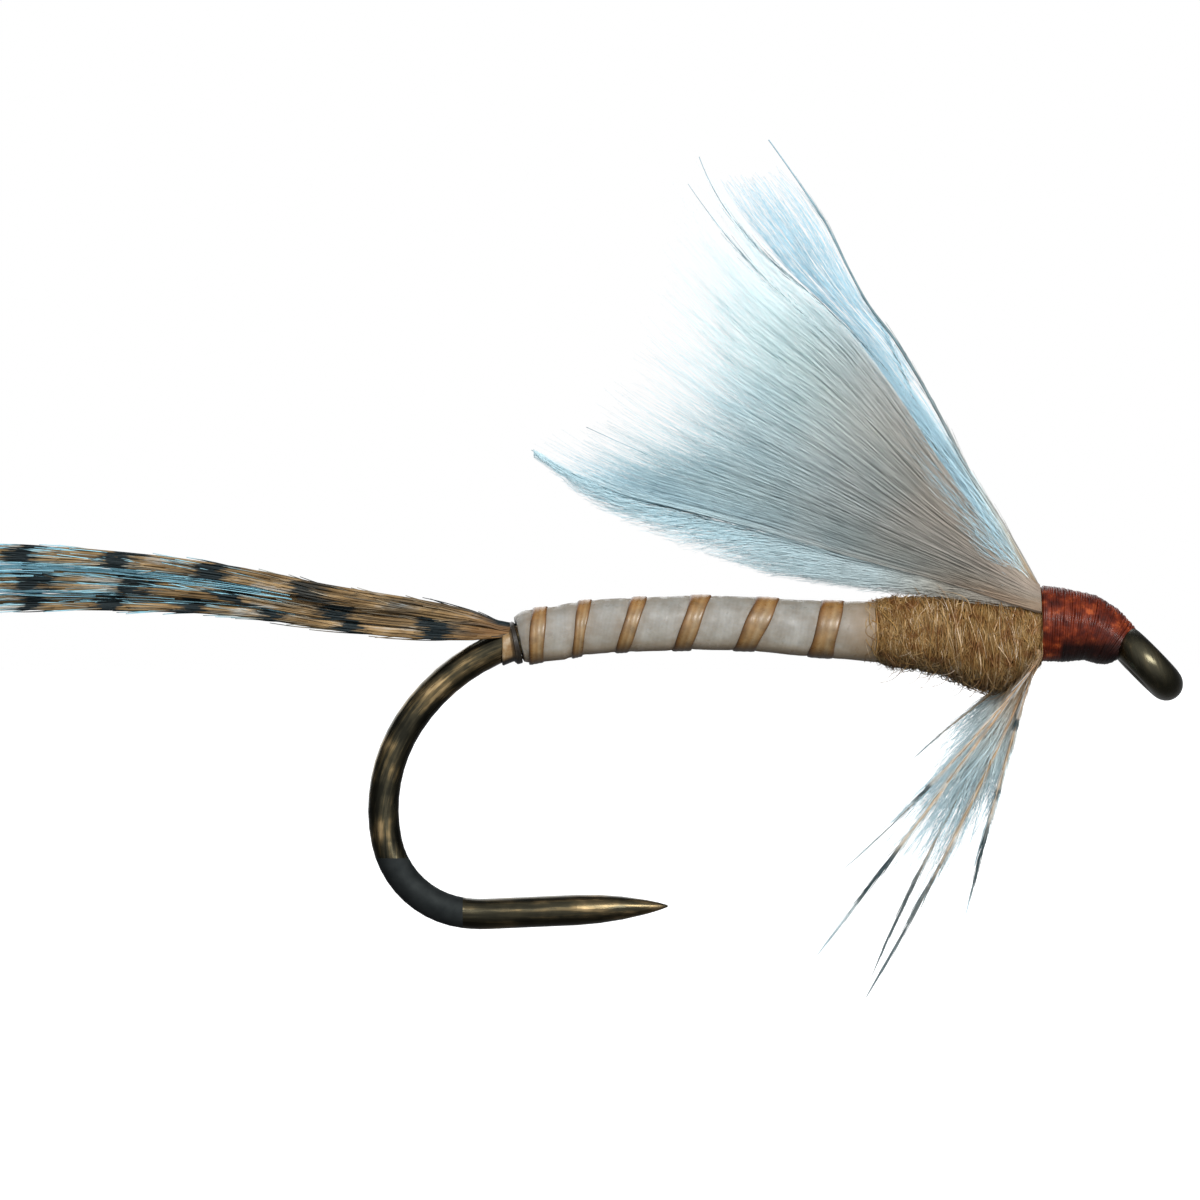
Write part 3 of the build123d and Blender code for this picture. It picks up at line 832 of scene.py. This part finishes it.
def head_core(name, rear, front):
    """The closed dark body under the turns of thread."""
    steps, sides = 40, 64
    x = np.linspace(rear, front, steps)[:, None] + 0 * np.zeros((1, sides))
    angle = -np.arange(sides)[None, :] * TURN / sides + 0 * x
    points = head_points(x, angle, 0.955).reshape(-1, 3)
    return write_mesh(name, points, ring_faces(1, steps, sides), {"tone": 0.12 + 0 * x})


def head_wraps(name, rng, rear, front, layers):
    """Turns of thread over the core, to and fro: (turns, scale) for each layer."""
    paths, tones = [], []
    steps = 1100
    t = np.linspace(0, 1, steps)
    for number, (turns, scale) in enumerate(layers):
        way = t if number % 2 == 0 else 1 - t
        wander = np.cumsum(rng.normal(0, 1, steps))
        wander = np.convolve(wander - wander.mean(), np.ones(60) / 60, "same")
        wander *= 0.030 / np.abs(wander).max()
        angle = TURN * turns * t + number * 1.3
        lean = (0.03 + 0.05 * (number == 3)) * np.sin(angle + number)
        x = np.clip(rear + 0.04 + (front - rear - 0.08) * way + wander + lean, rear + 0.01, front - 0.01)
        paths.append(head_points(x, -angle, scale, 0.006 * np.sin(2.7 * angle + number)))
        tones.append(0.45 + 0.25 * np.sin(0.21 * angle + 2 * number))
    paths = np.array(paths)
    radii = np.full((len(layers), steps), 0.030)
    return tubes(name, paths, radii, sides=6, tone=np.array(tones))


def build_head():
    """Rust thread, varnished: the head, and the whip finish that crowds the eye."""
    rust = varnished_rust()
    rng = np.random.default_rng(37)
    sections = (
        ("head_thread", -2.20, -0.80, [(30, 0.958), (26, 0.962), (28, 0.966), (9, 0.972)]),
        ("whip_finish", -0.84, -0.40, [(12, 0.958), (10, 0.964), (6, 0.972)]),
    )
    for node, rear, front, layers in sections:
        core = head_core(node + "_core", rear, front)
        wraps = head_wraps(node + "_turns", rng, rear, front, layers)
        dress(core, rust, node)
        dress(wraps, rust)


# ---------------------------------------------------------------- tail


def build_tail():
    """Twelve barred fibres in three bundles, which spread from their tying turns."""
    material = barred_tail()
    for line, thick, bar_x, period, numbers in TAIL_BUNDLES:
        for i, number in enumerate(numbers):
            rng = np.random.default_rng(100 + number)
            place = 2 * i / (len(numbers) - 1) - 1
            side = -math.cos(2.4 * i + 0.4) if i else -1.0
            end = line[-1][0] + rng.uniform(0.0, 0.9)
            knots = []
            for x, z in line:
                x = line[0][0] + (x - line[0][0]) * (end - line[0][0]) / (line[-1][0] - line[0][0])
                along = (x - line[0][0]) / (line[-1][0] - line[0][0])
                spread = 0.35 + 0.65 * min(5 * along, 1)
                y = side * (0.26 + (TAIL_HALF_SPREAD - 0.26) * along)
                knots.append(np.array([x, y, z + thick * place * spread]))
            name = f"tail_fibre_{number:02d}_barbs"
            fade = float(number >= 9)
            inward = -1 if number >= 9 else 1
            piece = tail_fibre(name, rng, knots, bar_x, period, fade, inward)
            dress(piece, material, f"tail_fibre_{number:02d}")
    dress(tail_loose_hairs(), material)


def tail_loose_hairs():
    """Fine blue-grey barbules that lie along the gaps between the bundles."""
    rng = np.random.default_rng(130)
    count = 300
    t = np.linspace(0, 1, 400)
    local = np.linspace(0, 1, 16)[None, :]
    lines = smooth_path([[(x, 0.0, z) for x, z in bundle[0]] for bundle in TAIL_BUNDLES], t)
    gap = rng.integers(0, 2, count)
    share = rng.uniform(0.12, 0.88, (count, 1))
    begin = rng.uniform(0.38, 0.86, (count, 1))
    at = np.minimum(begin + rng.uniform(0.10, 0.30, (count, 1)) * local, 0.97)
    paths = np.empty((count, 16, 3))
    for i in range(count):
        upper = read_line(at[i], t, lines[gap[i]])
        lower = read_line(at[i], t, lines[gap[i] + 1])
        paths[i] = upper * (1 - share[i]) + lower * share[i]
    paths[..., 1] += rng.uniform(-0.5, 0.5, (count, 1))
    paths[..., 2] += rng.normal(0, 0.03, (count, 1)) * np.sin(math.pi * local)
    radii = rng.uniform(0.008, 0.015, (count, 1)) * (1 - 0.6 * local)
    tone = np.clip(rng.normal(0.55, 0.25, count), 0, 1)
    zero = np.zeros(count)
    return tubes(
        "tail_loose_hairs", paths, radii, sides=4, flat=0.6, bar=zero + 0.7, fringe=zero + 0.8,
        tone=tone, shade=zero, fading=zero,
    )


def tail_fibre(name, rng, knots, bar_x, period, fade, inward):
    """One fibre as a single mesh: flat strips side by side, barbules, and a dark rim on top."""
    strips, count, steps = 5, 130, 22
    t = np.linspace(0, 1, 400)
    spine = smooth_path([knots], t)[0]
    begin = np.concatenate([np.zeros(strips), rng.uniform(0.0, 0.95, count - strips)])
    reach = np.concatenate([np.ones(strips), rng.uniform(0.05, 0.16, count - strips)])
    end = np.minimum(begin + reach, 1.0)
    local = np.linspace(0, 1, steps)[None, :]
    at = begin[:, None] + (end - begin)[:, None] * local
    base = read_line(at, t, spine)
    offset = rng.uniform(-1, 1, (count, 1))
    offset[:strips] = np.linspace(-0.75, 0.75, strips)[:, None]
    whole = begin[:, None] == 0
    gather = np.interp(at, [0, 0.06, 0.14, 0.8, 1], [0.30, 0.6, 1.0, 0.9, 0.4])
    wild = np.where((rng.random((count, 1)) < 0.2) & (offset * inward > 0), 1.5, 1.0)
    spread = np.where(whole, 0.075, 0.150 * wild * (0.25 + 0.75 * local)) * gather
    drift = rng.normal(0, 0.018, (count, 1)) * np.sin(math.pi * local)
    base[..., 2] += offset * spread + drift
    base[..., 1] += rng.uniform(-1, 1, (count, 1)) * 0.05 * gather
    thick = np.where(whole, 0.036, 0.013) * np.where(whole, gather**0.5, 1)
    radii = thick * (1 - 0.45 * local**1.5) * (0.85 + 0.3 * rng.random((count, 1)))
    slip = rng.normal(0, 0.055, (count, 1)) + rng.normal(0, 0.03)
    bar = (base[..., 0] - bar_x) / period + 20.23 + slip
    fringe = np.where(whole, 0.0, np.abs(offset) * local * wild) * np.clip(2.4 * at - 0.7, 0.12, 1)
    tone = np.clip(rng.normal(0.5, 0.25, count), 0, 1)
    fading = fade * np.clip(1.25 - at / 0.33, 0, 1) * 0.8
    shade = np.clip((base[..., 2] - np.interp(base[..., 0], *np.transpose(TAIL_RIM))) / 0.05, 0, 1)
    return tubes(
        name, base, radii, sides=4, flat=0.6, bar=bar, fringe=fringe, tone=tone, shade=shade,
        fading=fading, along=at,
    )


# ---------------------------------------------------------------- wing

# The fan of the wing: share from its upper edge down to its lower edge, and where barbs end
FAN_TIPS = [
    (0.00, (-9.30, 10.70)), (0.06, (-9.55, 10.20)), (0.16, (-9.85, 9.30)), (0.30, (-10.10, 8.10)),
    (0.45, (-10.40, 6.90)), (0.60, (-10.90, 5.90)), (0.74, (-11.60, 5.15)), (0.88, (-12.40, 4.75)),
    (1.00, (-12.75, 4.42)),
]
# How far the two edges of the fan bow from their chords, as (share of length, share of chord)
UPPER_BOW = [(0, 0), (0.16, -0.008), (0.28, -0.008), (0.44, 0.008), (0.57, 0.010), (0.77, -0.018), (1, 0)]
LOWER_BOW = [(0, 0), (0.37, -0.014), (0.54, -0.016), (0.69, -0.023), (0.81, -0.030), (0.92, -0.019), (1, 0)]
WING_ROOT_X = -2.27
WING_LEAN = 0.105
# How far the fringe hangs below the lower edge of the fan, at shares of that edge
FRINGE_DROP = [
    (0, 0.03), (0.07, 0.2), (0.19, 0.4), (0.37, 0.66), (0.54, 0.9), (0.72, 0.76), (0.88, 0.46), (1, 0.1),
]
# The gap between the two upper guard fibres, down both of its sides
MIST_EDGES = [
    [(-4.15, 4.84), (-4.79, 5.99), (-5.29, 6.78), (-5.79, 7.43), (-6.23, 8.22), (-6.73, 9.20),
     (-7.60, 10.40)],
    [(-4.40, 4.80), (-5.20, 5.90), (-5.95, 6.75), (-6.62, 7.40), (-7.35, 8.05), (-8.20, 9.00),
     (-9.00, 10.10)],
]


def fan_tip(u):
    """Where barbs at shares u of the fan end, as (x, z)."""
    shares = [share for share, _ in FAN_TIPS]
    return np.stack([np.interp(u, shares, [tip[c] for _, tip in FAN_TIPS]) for c in (0, 1)], -1)


def wing_roots(rng, u, side):
    """Roots of barbs: round the top of the head, lower barbs further down its side."""
    a = np.clip(0.06 + 1.12 * u + rng.normal(0, 0.07, u.shape), 0.0, 1.24)
    r = rng.uniform(0.66, 0.80, u.shape)
    x = WING_ROOT_X + rng.uniform(-0.03, 0.05, u.shape)
    return np.stack([x, side * r * np.sin(a), 0.84 + r * np.cos(a)], -1)


def wing_paths(rng, u, length, side, t):
    """Barbs at shares u (strand, step) of the fan, as long as the share length of it there."""
    s = t[None, :] * length[:, None]
    inner = np.stack([np.full_like(u, WING_ROOT_X), 1.72 - 0.55 * u], -1)
    outer = fan_tip(u.ravel()).reshape(*u.shape, 2)
    chord = outer - inner
    upper = np.interp(s, *np.transpose(UPPER_BOW))
    lower = np.interp(s, *np.transpose(LOWER_BOW))
    bow = (1 - u) ** 2 * upper + u * lower
    perp = np.stack([chord[..., 1], -chord[..., 0]], -1)
    flat = inner + chord * s[..., None] + perp * bow[..., None]
    height = np.maximum(flat[..., 1] - 1.45, 0)
    path = np.stack([flat[..., 0], side * (0.10 + WING_LEAN * height), flat[..., 1]], -1)
    root = wing_roots(rng, u[:, 0], side)
    settle = np.clip(s / 0.22, 0, 1)
    settle = settle * settle * (3 - 2 * settle)
    return path + (root - path[:, 0])[:, None] * (1 - settle)[..., None]


def within(u):
    """Shares of the fan, folded back at its edges."""
    return 1 - np.abs(1 - np.abs(u))


def build_wing_feather(node, side, seed):
    """One feather: wisps of barbs that close to points, and loose barbs between them."""
    rng = np.random.default_rng(seed)
    wisps, each, steps = 150, 26, 13
    t = np.linspace(0, 1, steps)
    lower = rng.random(wisps) < 0.20
    u_wisp = np.where(lower, rng.normal(0.90, 0.04, wisps), rng.random(wisps) ** 0.8)
    reach_wisp = np.where(lower, rng.uniform(0.56, 0.96, wisps), rng.triangular(0.50, 0.80, 1.0, wisps))
    strands = wisps * each
    length = np.repeat(reach_wisp, each) * rng.uniform(0.78, 1.0, strands)
    place = rng.normal(0, 0.5, (strands, 1)) * np.repeat(rng.uniform(0.03, 0.075, wisps), each)[:, None]
    close = np.interp(t, [0, 0.25, 0.6, 0.85, 1], [1.1, 1.2, 1.0, 0.65, 0.25])[None, :]
    u = np.repeat(u_wisp, each)[:, None] + place * close + waves(rng, strands, t[None, :], 1.3, 0.008)
    paths = wing_paths(rng, within(u), length, side, t)
    paths[..., 1] += rng.normal(0, 0.06, (strands, 1)) * np.minimum(t * 3, 1)
    thick = rng.uniform(0.0060, 0.0105, (strands, 1))
    radii = thick * (1 - 0.72 * t[None, :] ** 1.5)
    tone = np.repeat(rng.normal(0.5, 0.13, wisps), each) + rng.normal(0, 0.05, strands)
    reach = t[None, :] * length[:, None]
    wisp_pieces = tube_groups(
        node + "_wisps", 2, paths, radii, 3, tone=np.clip(tone, 0, 1), reach=reach,
        share=within(u),
    )

    count = 4600
    length = rng.triangular(0.25, 0.62, 1.03, count)
    u = rng.random(count)[:, None] ** 0.8 + waves(rng, count, t[None, :], 1.5, 0.02)
    paths = wing_paths(rng, within(u), length, side, t)
    paths[..., 1] += rng.normal(0, 0.07, (count, 1)) * np.minimum(t * 3, 1)
    radii = rng.uniform(0.0050, 0.0090, (count, 1)) * (1 - 0.75 * t[None, :] ** 1.4)
    tone = np.clip(rng.normal(0.52, 0.07, count), 0, 1)
    barb_pieces = tube_groups(
        node + "_barbs", 2, paths, radii, 3, tone=tone, reach=t[None, :] * length[:, None],
        share=within(u),
    )
    return wisp_pieces + barb_pieces


def wing_veil(rng, side, t, count):
    """Down along the upper edge of the fan: arcs from the root to scattered ends."""
    root = np.stack(
        [
            WING_ROOT_X + rng.uniform(-0.05, 0.03, count),
            side * rng.uniform(0.0, 0.25, count),
            1.56 + rng.uniform(-0.05, 0.05, count),
        ], -1,
    )
    far = rng.beta(1.6, 1.6, count)
    edge = rng.uniform(-0.06, 1, count)
    tip = np.stack(
        [
            -3.0 - 3.6 * far - 0.5 * edge * far,
            side * rng.uniform(0.05, 0.6, count),
            2.4 + 5.6 * far - 0.9 * edge,
        ], -1,
    )
    bulge = (0.012 + 0.02 * rng.random(count))[:, None]
    chord = tip - root
    perp = np.stack([chord[:, 2], np.zeros(count), -chord[:, 0]], -1)
    middle = root + 0.5 * chord + perp * bulge * (1 - edge)[:, None]
    tt = t[None, :, None]
    paths = (
        root[:, None] * (1 - tt) * (1 - 2 * tt) + middle[:, None] * 4 * tt * (1 - tt)
        + tip[:, None] * tt * (2 * tt - 1)
    )
    paths[..., 0] += waves(rng, count, t[None, :], 1.5, 0.10)
    return paths, rng.uniform(0.005, 0.0085, (count, 1)) * (1 - 0.7 * t[None, :])


def wing_fringe(rng, side, t, count):
    """Down that leaves the lower edge of the fan all along it, and sweeps outwards below it."""
    start = rng.beta(1.0, 1.5, count)[:, None]
    start[: count // 3] *= 0.12
    stretch = np.concatenate([np.full(count // 3, 0.52), np.full(count - count // 3, 0.16)])[:, None]
    stretch = stretch * rng.uniform(0.5, 1.1, (count, 1))
    s = start + stretch * t[None, :]
    edge = wing_paths(rng, np.ones((count, len(t))), np.ones(count), side, t)
    paths = read_line(np.clip(s, 0, 1), t, edge[0])
    fall = (rng.uniform(0, 1, (count, 1)) ** 0.6 * 1.2 - 0.2) * (0.3 + 0.7 * t[None, :])
    paths[..., 2] -= np.interp(s, *np.transpose(FRINGE_DROP)) * fall
    paths[..., 1] += rng.uniform(-0.30, 0.20, (count, 1)) * side * t[None, :] ** 0.7
    paths[..., 2] += waves(rng, count, t[None, :], 1.6, 0.05)
    radii = rng.uniform(0.005, 0.0085, (count, 1)) * (1 - 0.7 * t[None, :])
    return paths, radii, np.clip(1.6 * s - 0.06, 0, 1)


def build_wing_fluff(side, seed):
    """Pale down of one side of the wing: its veil, fringe and mist in one piece."""
    rng = np.random.default_rng(seed)
    t = np.linspace(0, 1, 12)
    veil, veil_radii = wing_veil(rng, side, t, 800)
    mist, mist_radii = wing_mist(rng, side, t)
    fringe, fringe_radii, fringe_reach = wing_fringe(rng, side, t, 1500)
    paths = np.concatenate([veil, fringe, mist])
    radii = np.concatenate([veil_radii, fringe_radii, mist_radii])
    tone = np.clip(rng.normal(0.6, 0.2, len(paths)), 0, 1)
    veil_reach = np.broadcast_to(np.clip(0.1 + 1.3 * t, 0, 1), veil_radii.shape)
    veil_cold = np.broadcast_to(np.clip(2.2 * t - 0.7, 0, 0.6), veil_radii.shape)
    reach = np.concatenate([veil_reach, fringe_reach, np.ones_like(mist_radii)])
    cold = np.concatenate(
        [veil_cold, np.full_like(fringe_radii, 0.2), np.full_like(mist_radii, 0.8)]
    )
    name = f"wing_fluff_{'near' if side < 0 else 'far'}"
    return tubes(name, paths, radii, sides=3, tone=tone, reach=reach, cold=cold)


def wing_mist(rng, side, t):
    """Very fine pale blue barbs that fill the gap between the two uppermost guard fibres."""
    count = 125
    share = rng.uniform(0.06, 0.97, (count, 1))
    stations = np.linspace(0, 1, 200)
    right, left = smooth_path([[(x, 0.0, z) for x, z in line] for line in MIST_EDGES], stations)
    begin = 0.05 + 0.68 * rng.random((count, 1)) ** 0.55
    at = begin + rng.uniform(0.5, 0.98, (count, 1)) * (1 - begin) * t[None, :]
    right = read_line(at, stations, right)
    left = read_line(at, stations, left)
    paths = right * (1 - share[..., None]) + left * share[..., None]
    paths[..., 0] += waves(rng, count, t[None, :], 1.2, 0.06)
    lean = WING_LEAN * np.maximum(paths[..., 2] - 1.45, 0)
    paths[..., 1] = side * (0.10 + lean * rng.uniform(0.2, 0.9, (count, 1)))
    radii = rng.uniform(0.004, 0.0065, (count, 1)) * (1 - 0.4 * t[None, :])
    return paths, radii


def build_wing():
    """Both feathers, and the down on both sides of the wing."""
    feather = plume()
    white = down()
    for node, side, seed in (("wing_feather_near", -1, 51), ("wing_feather_far", 1, 52)):
        first, *others = build_wing_feather(node, side, seed)
        dress(first, feather, node)
        for piece in others:
            dress(piece, feather)
        dress(build_wing_fluff(side, seed + 10), white)


# Guard fibres of the wing: points of each from root to tip, and its thickness at the root
GUARDS = [
    ([(-2.27, 1.62), (-3.00, 2.90), (-3.71, 3.99), (-4.15, 4.84), (-4.79, 5.99), (-5.29, 6.78),
      (-5.79, 7.43), (-6.23, 8.22), (-6.73, 9.20), (-7.17, 9.86), (-7.88, 10.86)], 0.042),
    ([(-2.27, 1.57), (-3.60, 3.60), (-5.20, 5.90), (-6.62, 7.40), (-7.90, 8.52), (-8.85, 9.66),
      (-9.30, 10.60)], 0.026),
    ([(-2.27, 1.54), (-3.50, 3.30), (-5.00, 5.20), (-6.90, 7.00), (-8.60, 8.70), (-9.55, 9.95)], 0.020),
    ([(-2.27, 1.51), (-3.90, 3.60), (-5.06, 6.10), (-5.45, 6.95), (-5.92, 7.70)], 0.040),
    ([(-2.27, 1.48), (-5.00, 2.30), (-7.60, 2.80), (-9.60, 3.17), (-10.90, 3.49), (-11.96, 3.95),
      (-12.80, 4.44)], 0.028),
    ([(-2.27, 1.45), (-5.20, 2.50), (-8.00, 3.40), (-10.60, 4.45), (-11.66, 4.93)], 0.022),
]


def build_guards():
    """Long guard fibres of the wing, each with fine barbules along it."""
    material = guard()
    t = np.linspace(0, 1, 60)
    for number, (line, thick) in enumerate(GUARDS, 1):
        rng = np.random.default_rng(70 + number)
        side = -1 if number % 2 else 1
        knots = [(x, side * (0.10 + WING_LEAN * max(z - 1.45, 0) * 0.6), z) for x, z in line]
        main = smooth_path([knots], t)
        count = 110
        begin = rng.uniform(0.05, 0.80, count)
        reach = rng.uniform(0.07, 0.16, count)
        local = np.linspace(0, 1, 60)[None, :]
        at = np.minimum(begin[:, None] + reach[:, None] * local, 1)
        barbules = read_line(at, t, main[0])
        away = unit(np.cross(np.gradient(barbules, axis=1), ACROSS))
        step = rng.normal(0, 0.050, (count, 1)) * local
        barbules += away * step[..., None]
        barbules = barbules[:, ::6]
        at = at[:, ::6]
        lead = tubes(
            f"wing_fibre_{number:02d}_guard", main, thick * (1 - 0.72 * t[None, :] ** 1.3),
            sides=6, flat=0.6, tone=[0.5],
        )
        hairs = tubes(
            f"wing_fibre_{number:02d}_barbules", barbules,
            np.full(at.shape, 0.006) * (1 - 0.6 * local[:, ::6]), sides=3, tone=rng.random(count),
            along=at,
        )
        dress(lead, material, f"wing_fibre_{number:02d}")
        dress(hairs, material)


# ---------------------------------------------------------------- throat hackle


def hackle_line(middle, tip, side, t):
    """Smooth line of one hackle fibre from its root to its tip."""
    knots = [
        (x, side * share, z) for (x, z), share in zip((HACKLE_ROOT, middle, tip), HACKLE_SPREAD)
    ]
    return smooth_path([knots], t)[0]


def build_hackle():
    """Barred fibres of the throat: a tapered stem each, feathered by close barbules."""
    material = barred_hackle()
    t = np.linspace(0, 1, 300)
    for number, (middle, tip, side, bars, size) in enumerate(HACKLE_FIBRES, 1):
        rng = np.random.default_rng(200 + number)
        spine = hackle_line(middle, tip, side, t)
        count, steps = 150, 10
        begin = np.concatenate([np.zeros(5), rng.uniform(0.02, 0.97, count - 5)])
        reach = np.concatenate([np.ones(5), rng.uniform(0.05, 0.13, count - 5)])
        local = np.linspace(0, 1, steps)[None, :]
        at = np.minimum(begin[:, None] + reach[:, None] * local, 1)
        base = read_line(at, t, spine)
        away = read_line(at, t, unit(np.cross(np.gradient(spine, axis=0), ACROSS)))
        offset = rng.uniform(-1, 1, (count, 1))
        offset[:5] = np.linspace(-0.35, 0.35, 5)[:, None]
        shape = np.interp(at, [0, 0.3, 0.7, 0.93, 1], [0.7, 1.0, 0.9, 0.35, 0.05])
        spread = np.where(begin[:, None] == 0, 0.028, 0.075 * (0.25 + 0.75 * local))
        base += away * (offset * spread * shape * size)[..., None]
        base[..., 1] += rng.uniform(-0.03, 0.03, (count, 1)) * shape
        thick = np.where(begin[:, None] == 0, 0.019, 0.0085)
        radii = size * thick * shape**0.5 * (1 - 0.5 * local**2)
        dark = np.zeros_like(at)
        for centre, half, depth in bars:
            dark = np.maximum(dark, depth * np.clip(1.6 - 1.1 * np.abs(at - centre) / half, 0, 1))
        fringe = np.where(begin[:, None] == 0, 0.0, np.abs(offset)) * np.ones_like(at)
        piece = tubes(
            f"hackle_fibre_{number:02d}_barbs", base, radii, sides=4, flat=0.8,
            reach=at, fringe=fringe, dark=dark,
        )
        dress(piece, material, f"hackle_fibre_{number:02d}")


def build_hackle_down():
    """Soft down between the hackle fibres, gathered to a peach root behind the head."""
    rng = np.random.default_rng(90)
    count, steps = 1500, 13
    t = np.linspace(0, 1, steps)
    first = rng.integers(0, 8, count)
    second = (first + rng.integers(1, 8, count)) % 8
    share = rng.random((count, 1, 1)) ** 1.4 * 0.7
    lines = np.array([hackle_line(m, e, s, t) for m, e, s, _, _ in HACKLE_FIBRES])
    blend = lines[first] * (1 - share) + lines[second] * share
    length = rng.triangular(0.25, 0.48, 0.86, count)[:, None]
    at = length * t[None, :]
    paths = np.array([read_line(at[s], t, blend[s]) for s in range(count)])
    start = paths[:, :1].copy()
    around = rng.uniform(-1, 1, (count, 1))
    root = np.array([-2.36, 0, 0.10]) + np.stack(
        [rng.uniform(-0.14, 0.18, count), 0.62 * around[:, 0], 0.25 * around[:, 0] ** 2 - 0.05], -1
    )
    fade = np.clip(1 - t / 0.35, 0, 1)[None, :, None] ** 1.5
    paths += (root[:, None] - start) * fade
    paths[..., 0] += waves(rng, count, t[None, :], 1.4, 0.12)
    paths[..., 1] += waves(rng, count, t[None, :], 1.1, 0.22) + 0.30 * np.minimum(3 * t, 1)[None, :]
    radii = rng.uniform(0.006, 0.0105, (count, 1)) * (1 - 0.7 * t[None, :] ** 1.4)
    tone = np.clip(rng.normal(0.5, 0.2, count), 0, 1)
    cold = 0.45 * np.clip(2.6 * at - 0.7, 0, 1)
    piece = tubes("hackle_down_barbs", paths, radii, sides=3, tone=tone, reach=at * 1.5, cold=cold)
    dress(piece, down(), "hackle_down")


# ---------------------------------------------------------------- studio

VIEW_CENTRE = (-11.375, 1.32)
VIEW_WIDTH = 25.0
LENS = 200.0
SENSOR = 36.0
FLOOR_Z = -32.0


def build_camera():
    """A long lens level with the object, straight in front of it."""
    data = bpy.data.cameras.new("studio_camera")
    data.lens = LENS
    data.sensor_width = SENSOR
    data.clip_start = 1 * MM
    data.clip_end = 20.0
    camera = bpy.data.objects.new("studio_camera", data)
    distance = VIEW_WIDTH * LENS / SENSOR
    camera.location = Vector((VIEW_CENTRE[0], -distance, VIEW_CENTRE[1])) * MM
    camera.rotation_euler = (math.radians(90), 0, 0)
    bpy.context.scene.collection.objects.link(camera)
    bpy.context.scene.camera = camera


def build_sun(name, energy, degrees, towards, colour):
    """A sun that shines from the direction towards, with soft edges that many degrees wide."""
    sun = bpy.data.lights.new(name, "SUN")
    sun.energy = energy
    sun.angle = math.radians(degrees)
    sun.color = colour
    lamp = bpy.data.objects.new(name, sun)
    lamp.rotation_euler = Vector(towards).to_track_quat("Z", "Y").to_euler()
    bpy.context.scene.collection.objects.link(lamp)


def build_light():
    """A soft key light from in front, a weaker one behind, in a studio that is bright in front."""
    build_sun("key", 2.4, 26, (0.30, -0.88, 0.38), (1.0, 0.985, 0.96))
    build_sun("back", 1.5, 60, (-0.35, 0.80, 0.48), (0.96, 0.985, 1.0))

    world = bpy.data.worlds.new("studio")
    bpy.context.scene.world = world
    world.use_nodes = True
    world.node_tree.nodes.clear()
    n = Nodes(world.node_tree)
    facing = n.node("ShaderNodeVectorMath", operation="DOT_PRODUCT")
    facing.inputs[1].default_value = Vector((0.16, -0.90, 0.40)).normalized()
    n.link(n.node("ShaderNodeTexCoord").outputs["Generated"], facing.inputs[0])
    turned = n.math("MULTIPLY_ADD", facing.outputs["Value"], 0.5, 0.5)
    levels = ((0.0, 0.24), (0.25, 0.12), (0.50, 0.13), (0.72, 0.38), (0.88, 0.90), (1.0, 1.15))
    stops = [(place, (level * 0.98, level, level * 1.03)) for place, level in levels]
    lit = n.node("ShaderNodeBackground")
    n.link(n.ramp(turned, *stops), lit.inputs["Color"])
    # the camera sees plain white behind the object
    seen = n.node("ShaderNodeBackground")
    seen.inputs["Color"].default_value = (1, 1, 1, 1)
    mix = n.node("ShaderNodeMixShader")
    n.link(n.node("ShaderNodeLightPath").outputs["Is Camera Ray"], mix.inputs["Fac"])
    n.link(lit.outputs[0], mix.inputs[1])
    n.link(seen.outputs[0], mix.inputs[2])
    n.link(mix.outputs[0], n.node("ShaderNodeOutputWorld").inputs["Surface"])


def build_floor():
    """A white floor well below the object, which throws no light and no reflection on it."""
    mesh = bpy.data.meshes.new("studio_floor")
    half = 3.0
    corners = [(-half, -half, 0), (half, -half, 0), (half, half, 0), (-half, half, 0)]
    mesh.from_pydata(corners, [], [(0, 1, 2, 3)])
    floor = bpy.data.objects.new("studio_floor", mesh)
    floor.location = (0, 0, FLOOR_Z * MM)
    bpy.context.scene.collection.objects.link(floor)
    paint = Paint(
        "studio_floor", Roughness=0.9, Base_Color=(0.9, 0.9, 0.9, 1),
        Emission_Color=(1, 1, 1, 1), Emission_Strength=0.45,
    )
    mesh.materials.append(paint.material)
    floor.visible_diffuse = False
    floor.visible_glossy = False
    floor.visible_transmission = False


def paint_cad_nodes():
    """Materials of the CAD nodes that stay as they are."""
    base = thread("base_thread", (0.14, 0.075, 0.030), (0.30, 0.19, 0.10), (0.45, 0.33, 0.21), 0.0)
    for node, material in (("hook", bronzed_wire()), ("thread_base", base)):
        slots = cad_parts[node].data.materials
        slots.clear()
        slots.append(material)


build_camera()
build_light()
build_floor()
paint_cad_nodes()
build_abdomen()
build_rib()
build_tie_turns()
build_thorax()
build_head()
build_tail()
build_wing()
build_guards()
build_hackle()
build_hackle_down()

bpy.context.scene.view_settings.view_transform = "Standard"
bpy.context.scene.view_settings.look = "None"
